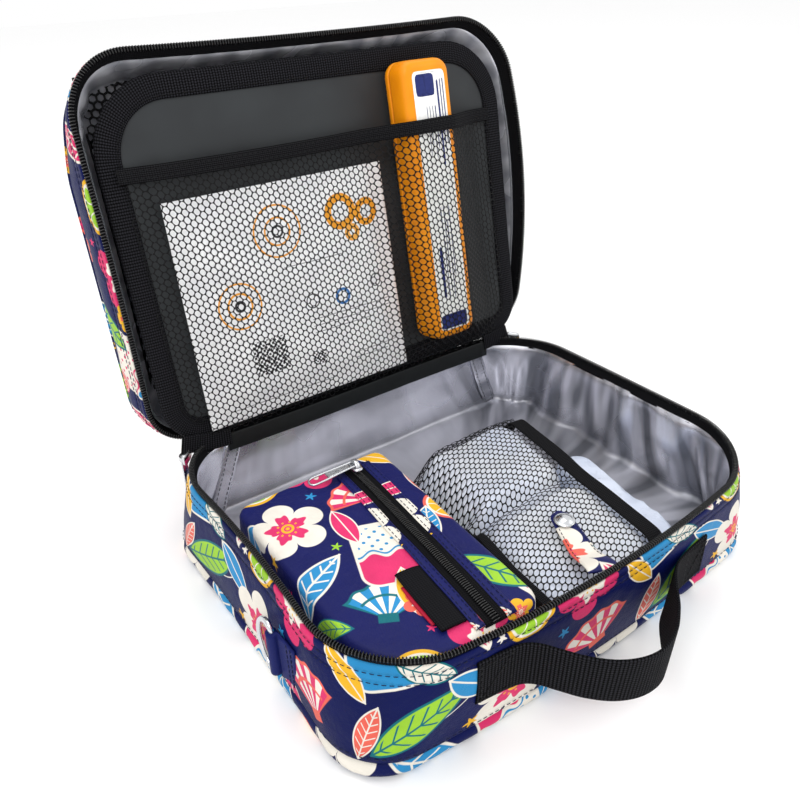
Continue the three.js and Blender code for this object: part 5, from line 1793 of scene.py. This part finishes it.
V, F, UVs = [], [], []
nu, nv = 38, 11
for i in range(nu):
    t = i / (nu - 1)
    l = t * SL
    hw = strap_hw(l)
    if l > SL - 5:
        k = (l - (SL - 5)) / 5
        hw = hw - 5 + 5 * math.sqrt(max(0.0, 1 - k * k)) if k < 1 else 1.2
        hw = max(hw, 1.2)
    for layer in (0, 1):
        for j in range(nv):
            q = (j / (nv - 1) * 2 - 1) * hw
            p = S0 + sd * l + sn * q
            zc = strap_z(l)
            e = 1 - (abs(q) / hw) ** 4
            V.append((p[0], p[1], zc + (0.55 * e + 0.1 if layer else -0.25)))
            UVs.append((q + 40, l + 88))
m = 2 * nv
for i in range(nu - 1):
    for j in range(nv - 1):
        a = i * m + nv + j
        F.append((a, a + 1, a + m + 1, a + m)[::-1])
        a = i * m + j
        F.append((a, a + m, a + m + 1, a + 1)[::-1])
    a = i * m
    F.append((a, a + nv, a + m + nv, a + m)[::-1])
    a = i * m + nv - 1
    F.append((a, a + m, a + m + nv, a + nv)[::-1])
F.append(tuple([j for j in range(nv)] + [nv + j for j in reversed(range(nv))]))
b = (nu - 1) * m
F.append(tuple([b + j for j in reversed(range(nv))] + [b + nv + j for j in range(nv)]))
tab = make("strap_tab", V, F, "print", "strap", uv=UVs, slot="printed_fabric", ride=False, replaces=("snap_strap",))
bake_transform(tab)
# stitched edge
path = []
for l in np.linspace(16, SL - 4.5, 30):
    path.append((S0 + sd * l + sn * (strap_hw(l) - 1.3), l))
he = strap_hw(SL - 4.5) - 1.3
for a in np.linspace(0.15, math.pi - 0.15, 9):
    path.append((S0 + sd * (SL - 5 + 3.5 * math.sin(a)) + sn * he * math.cos(a), SL - 5 + 3.5 * math.sin(a)))
for l in np.linspace(SL - 4.5, 16, 30):
    path.append((S0 + sd * l - sn * (strap_hw(l) - 1.3), l))
P = np.array([(p[0], p[1], strap_z(l) + 0.42) for p, l in path])
stitches("strap_stitch", P, (0, 0, 1), "thread", "strap", length=2.0, gap=1.0, r=0.2, slot="printed_fabric")
cpos = np.array([2.5, -97.5]) + np.array([18.0, 41.5]) / math.hypot(18.0, 41.5) * (math.hypot(18.0, 41.5) - 9.0)


def lathe(name, prof, centre, mat, body, slot, replaces, n=36):
    V, F = [], []
    for r, z in prof:
        for i in range(n):
            a = 2 * math.pi * i / n
            V.append((centre[0] + r * math.cos(a), centre[1] + r * math.sin(a), centre[2] + z))
    for j in range(len(prof) - 1):
        for i in range(n):
            F.append((j * n + i, j * n + (i + 1) % n, (j + 1) * n + (i + 1) % n, (j + 1) * n + i))
    F.append(tuple(reversed(range(n)))); F.append(tuple((len(prof) - 1) * n + i for i in range(n)))
    return make(name, V, F, mat, body, slot=slot, replaces=replaces)


lathe("strap_snap_cap", [(5.0, 0.0), (5.45, 0.25), (5.5, 0.65), (5.25, 1.05), (4.95, 1.15), (4.65, 1.12), (4.3, 1.3), (3.7, 1.8), (2.8, 2.3), (1.7, 2.65), (0.7, 2.8), (0.1, 2.82)], (cpos[0], cpos[1], 45.3), "metal", "strap", "bright_metal", ("snap_cap",))
lathe("strap_snap_socket", [(4.6, -0.8), (4.7, -1.1), (4.5, -2.0), (3.6, -2.1), (2.6, -1.9), (2.4, -1.2), (0.2, -1.1)][::-1], (cpos[0], cpos[1], 45.1), "metal", "strap", "bright_metal", ("snap_socket",))
lathe("net_snap_stud", [(3.4, -3.7), (3.5, -3.4), (3.3, -3.0), (2.2, -2.9), (2.0, -2.6), (1.6, -2.35), (0.2, -2.3)], (cpos[0], cpos[1], 45.1), "metal", "base", "bright_metal", ("snap_stud",))

# ================================================================== HANDLE


def catmull(P, n):
    P = np.array(P, float)
    Q = np.vstack([2 * P[0] - P[1], P, 2 * P[-1] - P[-2]])
    out = []
    for i in range(1, len(Q) - 2):
        for t in np.linspace(0, 1, n, endpoint=False):
            a, b, c_, d = Q[i - 1], Q[i], Q[i + 1], Q[i + 2]
            out.append(0.5 * ((2 * b) + (c_ - a) * t + (2 * a - 5 * b + 4 * c_ - d) * t * t + (3 * b - a - 3 * c_ + d) * t ** 3))
    out.append(Q[-2])
    return np.array(out)


def wall_y(x):
    return -100.46 - 13.24 * (1 - (x / 134.0) ** 2) * 0.97 - 1.4


# x, y and the middle height of the band; it hangs lower to the right
HP = [(-80.5, wall_y(-80.5), 39.0), (-72, wall_y(-72), 38.8), (-65, wall_y(-65) - 0.2, 38.6), (-58, wall_y(-58) - 1.2, 38.4), (-52.6, -117.6, 38.2), (-47.6, -125.0, 38.0), (-41, -134.2, 37.6), (-32, -142.2, 37.0), (-21, -146.8, 36.0), (-9, -147.0, 34.6), (3, -142.4, 33.2), (14, -134.0, 31.8), (24, -125.4, 30.8), (32, -120.0, 30.2), (40, wall_y(40) - 2.2, 29.8), (48, wall_y(48) - 0.8, 29.6), (56, wall_y(56) - 0.2, 29.6), (64, wall_y(64), 29.6), (69, wall_y(69), 29.6)]
HC = catmull(HP, 10)
HC, _ = resample(HC, 1.6, closed=False)
mid = int(np.argmin(HC[:, 1]))
wsec = [(-12.4, -0.35), (-12.2, 0.35), (-11.4, 0.72), (-8, 0.8), (-4, 0.82), (0, 0.84), (4, 0.82), (8, 0.8), (11.4, 0.72), (12.2, 0.35), (12.4, -0.35), (11.4, -0.72), (6, -0.8), (0, -0.82), (-6, -0.8), (-11.4, -0.72)]


def webbing(name, P, body, s0, **kw):
    """A band standing on edge: its width runs up, its face looks outward."""
    t = np.gradient(P, axis=0); t /= np.linalg.norm(t, axis=1)[:, None]
    up = np.array([0, 0, 1.0])
    V, UVs = [], []
    sl = s0 + np.r_[0, np.cumsum(np.linalg.norm(np.diff(P, axis=0), axis=1))]
    for i in range(len(P)):
        o = np.cross(t[i], up); o /= np.linalg.norm(o)
        w = np.cross(o, t[i])
        # the right leg leans out at its top
        a = 0.20 * math.exp(-((P[i][0] - 19.0) / 15.0) ** 2)
        o, w = o * math.cos(a) - w * math.sin(a), w * math.cos(a) + o * math.sin(a)
        for q, m_ in wsec:
            V.append(P[i] + w * q + o * m_); UVs.append((sl[i], q + 12.5 if m_ > 0 else 40 - q))
    M_ = len(wsec)
    F = grid_faces(len(P), M_, False, True) + [tuple(range(M_)), tuple(reversed(range((len(P) - 1) * M_, len(P) * M_)))]
    return make(name, V, F, "web", body, uv=UVs, ride=False, **kw), sl


hl, sl1 = webbing("handle_band_left", HC[:mid + 1], "handle", 0.0, slot="black_webbing", replaces=("handle_end_left", "handle_loop"))
hr, sl2 = webbing("handle_band_right", HC[mid:], "handle", float(sl1[-1]), slot="black_webbing", replaces=("handle_end_right",))
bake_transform(hl)
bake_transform(hr)
# stitched boxes that hold its ends on the wall
for side, xa, xb, zc in (("left", -79.0, -63.5, 38.8), ("right", 52.0, 67.5, 29.6)):
    pts_ = [(xa, zc - 10), (xb, zc - 10), (xb, zc + 10), (xa, zc + 10), (xa, zc - 10), (xb, zc + 10)]
    for k in range(len(pts_) - 1):
        (x0, z0), (x1, z1) = pts_[k], pts_[k + 1]
        P = np.array([(x0 + (x1 - x0) * t, wall_y(x0 + (x1 - x0) * t) - 0.95, z0 + (z1 - z0) * t) for t in np.linspace(0, 1, 12)])
        stitches("handle_stitch_%s_%d" % (side, k), P, (0.0, -1.0, 0.0), "threadblack", "base", length=2.2, gap=1.0, r=0.26, slot="black_webbing")

# ================================================================== D-RINGS
RY, BAR0, BAR1 = -36.0, 12.4, 43.6
for side, sx, RX in (("left", -1, 135.5), ("right", 1, 138.3)):
    # ring: straight bar and bow, one closed wire
    pts_ = [(sx * RX, RY, z) for z in np.linspace(BAR0 + 3, BAR1 - 3, 14)]
    pts_ += [(sx * RX, RY + 1.0, BAR1 - 0.6), (sx * RX, RY + 3.0, BAR1 + 0.2)]
    for a in np.linspace(math.radians(80), math.radians(-80), 25):
        pts_.append((sx * RX, RY + 3.0 + 11.5 * math.cos(a), (BAR0 + BAR1) / 2 + (BAR1 - BAR0) / 2 * math.sin(a)))
    pts_ += [(sx * RX, RY + 3.0, BAR0 - 0.2), (sx * RX, RY + 1.0, BAR0 + 0.6)]
    P, _ = resample(np.array(pts_), 1.4)
    sweep("ring_wire_" + side, P, circle_section(1.4, 12), (1, 0, 0), "metal", "ring_" + side, closed=True, slot="bright_metal", replaces=("dring_" + side,))
    # fabric tab: a flat end sewn to the wall and a roll round the bar
    V, UVs = [], []
    zsr = np.linspace(15.5, 40.5, 16)
    wall = RX - 3.2
    sec = [(wall + 0.2, -52.0), (wall + 0.9, -52.2), (wall + 1.3, -50.5), (wall + 1.5, -44), (wall + 2.6, -40.6)]
    for a in np.linspace(math.radians(-125), math.radians(150), 12):
        sec.append((RX + 2.9 * math.cos(a - math.radians(0)) * 1.0, RY + 2.9 * math.sin(a)))
    sec += [(wall + 0.7, -38.6), (wall + 0.3, -44)]
    Ls = np.r_[0, np.cumsum(np.linalg.norm(np.diff(np.array(sec), axis=0), axis=1))]
    for z in zsr:
        for k, (x, y) in enumerate(sec):
            V.append((sx * (x + 0.12 * nz(z / 6, k, 2)), y, z)); UVs.append((Ls[k] + 60, z + 20))
    F = grid_faces(len(zsr), len(sec), False, True, flip=(sx > 0))
    e0, e1 = list(range(len(sec))), [(len(zsr) - 1) * len(sec) + k for k in range(len(sec))]
    F += [tuple(e0 if sx < 0 else e0[::-1]), tuple(e1[::-1] if sx < 0 else e1)]
    make("ring_tab_" + side, V, F, "navy", "base", uv=UVs, slot="printed_fabric", replaces=("dring_tab_" + side,))
    for yq in (-49.5, -46.0):
        P = np.array([(sx * (wall + 1.45), yq, z) for z in np.linspace(17, 39, 12)])
        stitches("ring_tab_stitch_%s_%d" % (side, int(-yq)), P, (sx, 0, 0), "thread", "base", length=2.3, gap=1.0, r=0.24, slot="printed_fabric")

# ================================================================== STAGE, LIGHT
me = bpy.data.meshes.new("floor")
me.from_pydata([(-4, -4, -0.0004), (4, -4, -0.0004), (4, 4, -0.0004), (-4, 4, -0.0004)], [], [(0, 1, 2, 3)])
floor = bpy.data.objects.new("floor", me)
scn.collection.objects.link(floor)
fm = Mat("floor_paper")
q = E(fm, fm.node("ShaderNodeVectorMath", {0: fm.obj(), 1: (40.0, 40.0, 40.0)}, operation="MULTIPLY").outputs[0])
fm.set(Base_Color=fm.mix(fm.noise(q, 2.0, 2.0), (0.96, 0.96, 0.96), (0.97, 0.97, 0.97)), Roughness=0.95)
fm.b.inputs["Specular IOR Level"].default_value = 0.1
me.materials.append(fm.mat)

w = bpy.data.worlds.new("studio")
scn.world = w
w.use_nodes = True
nt = w.node_tree
bg = nt.nodes["Background"]
bg.inputs[0].default_value = (1.0, 1.0, 1.0, 1.0)
bg.inputs[1].default_value = 1.0


def area(name, loc, target, size, power, col=(1, 1, 1)):
    l = bpy.data.lights.new(name, "AREA")
    l.shape = "RECTANGLE"
    l.size, l.size_y = size
    l.energy = power
    l.color = col
    o = bpy.data.objects.new(name, l)
    o.location = loc
    d = Vector(target) - Vector(loc)
    o.rotation_euler = d.to_track_quat("-Z", "Y").to_euler()
    scn.collection.objects.link(o)
    return o


area("key", (-1.1, -1.0, 1.7), (0, 0, 0.08), (1.2, 1.0), 14)
area("fill", (1.3, -0.8, 1.1), (0, 0, 0.08), (0.9, 0.9), 3)
area("top", (0.0, 0.3, 1.9), (0, 0, 0.05), (1.4, 1.0), 7)
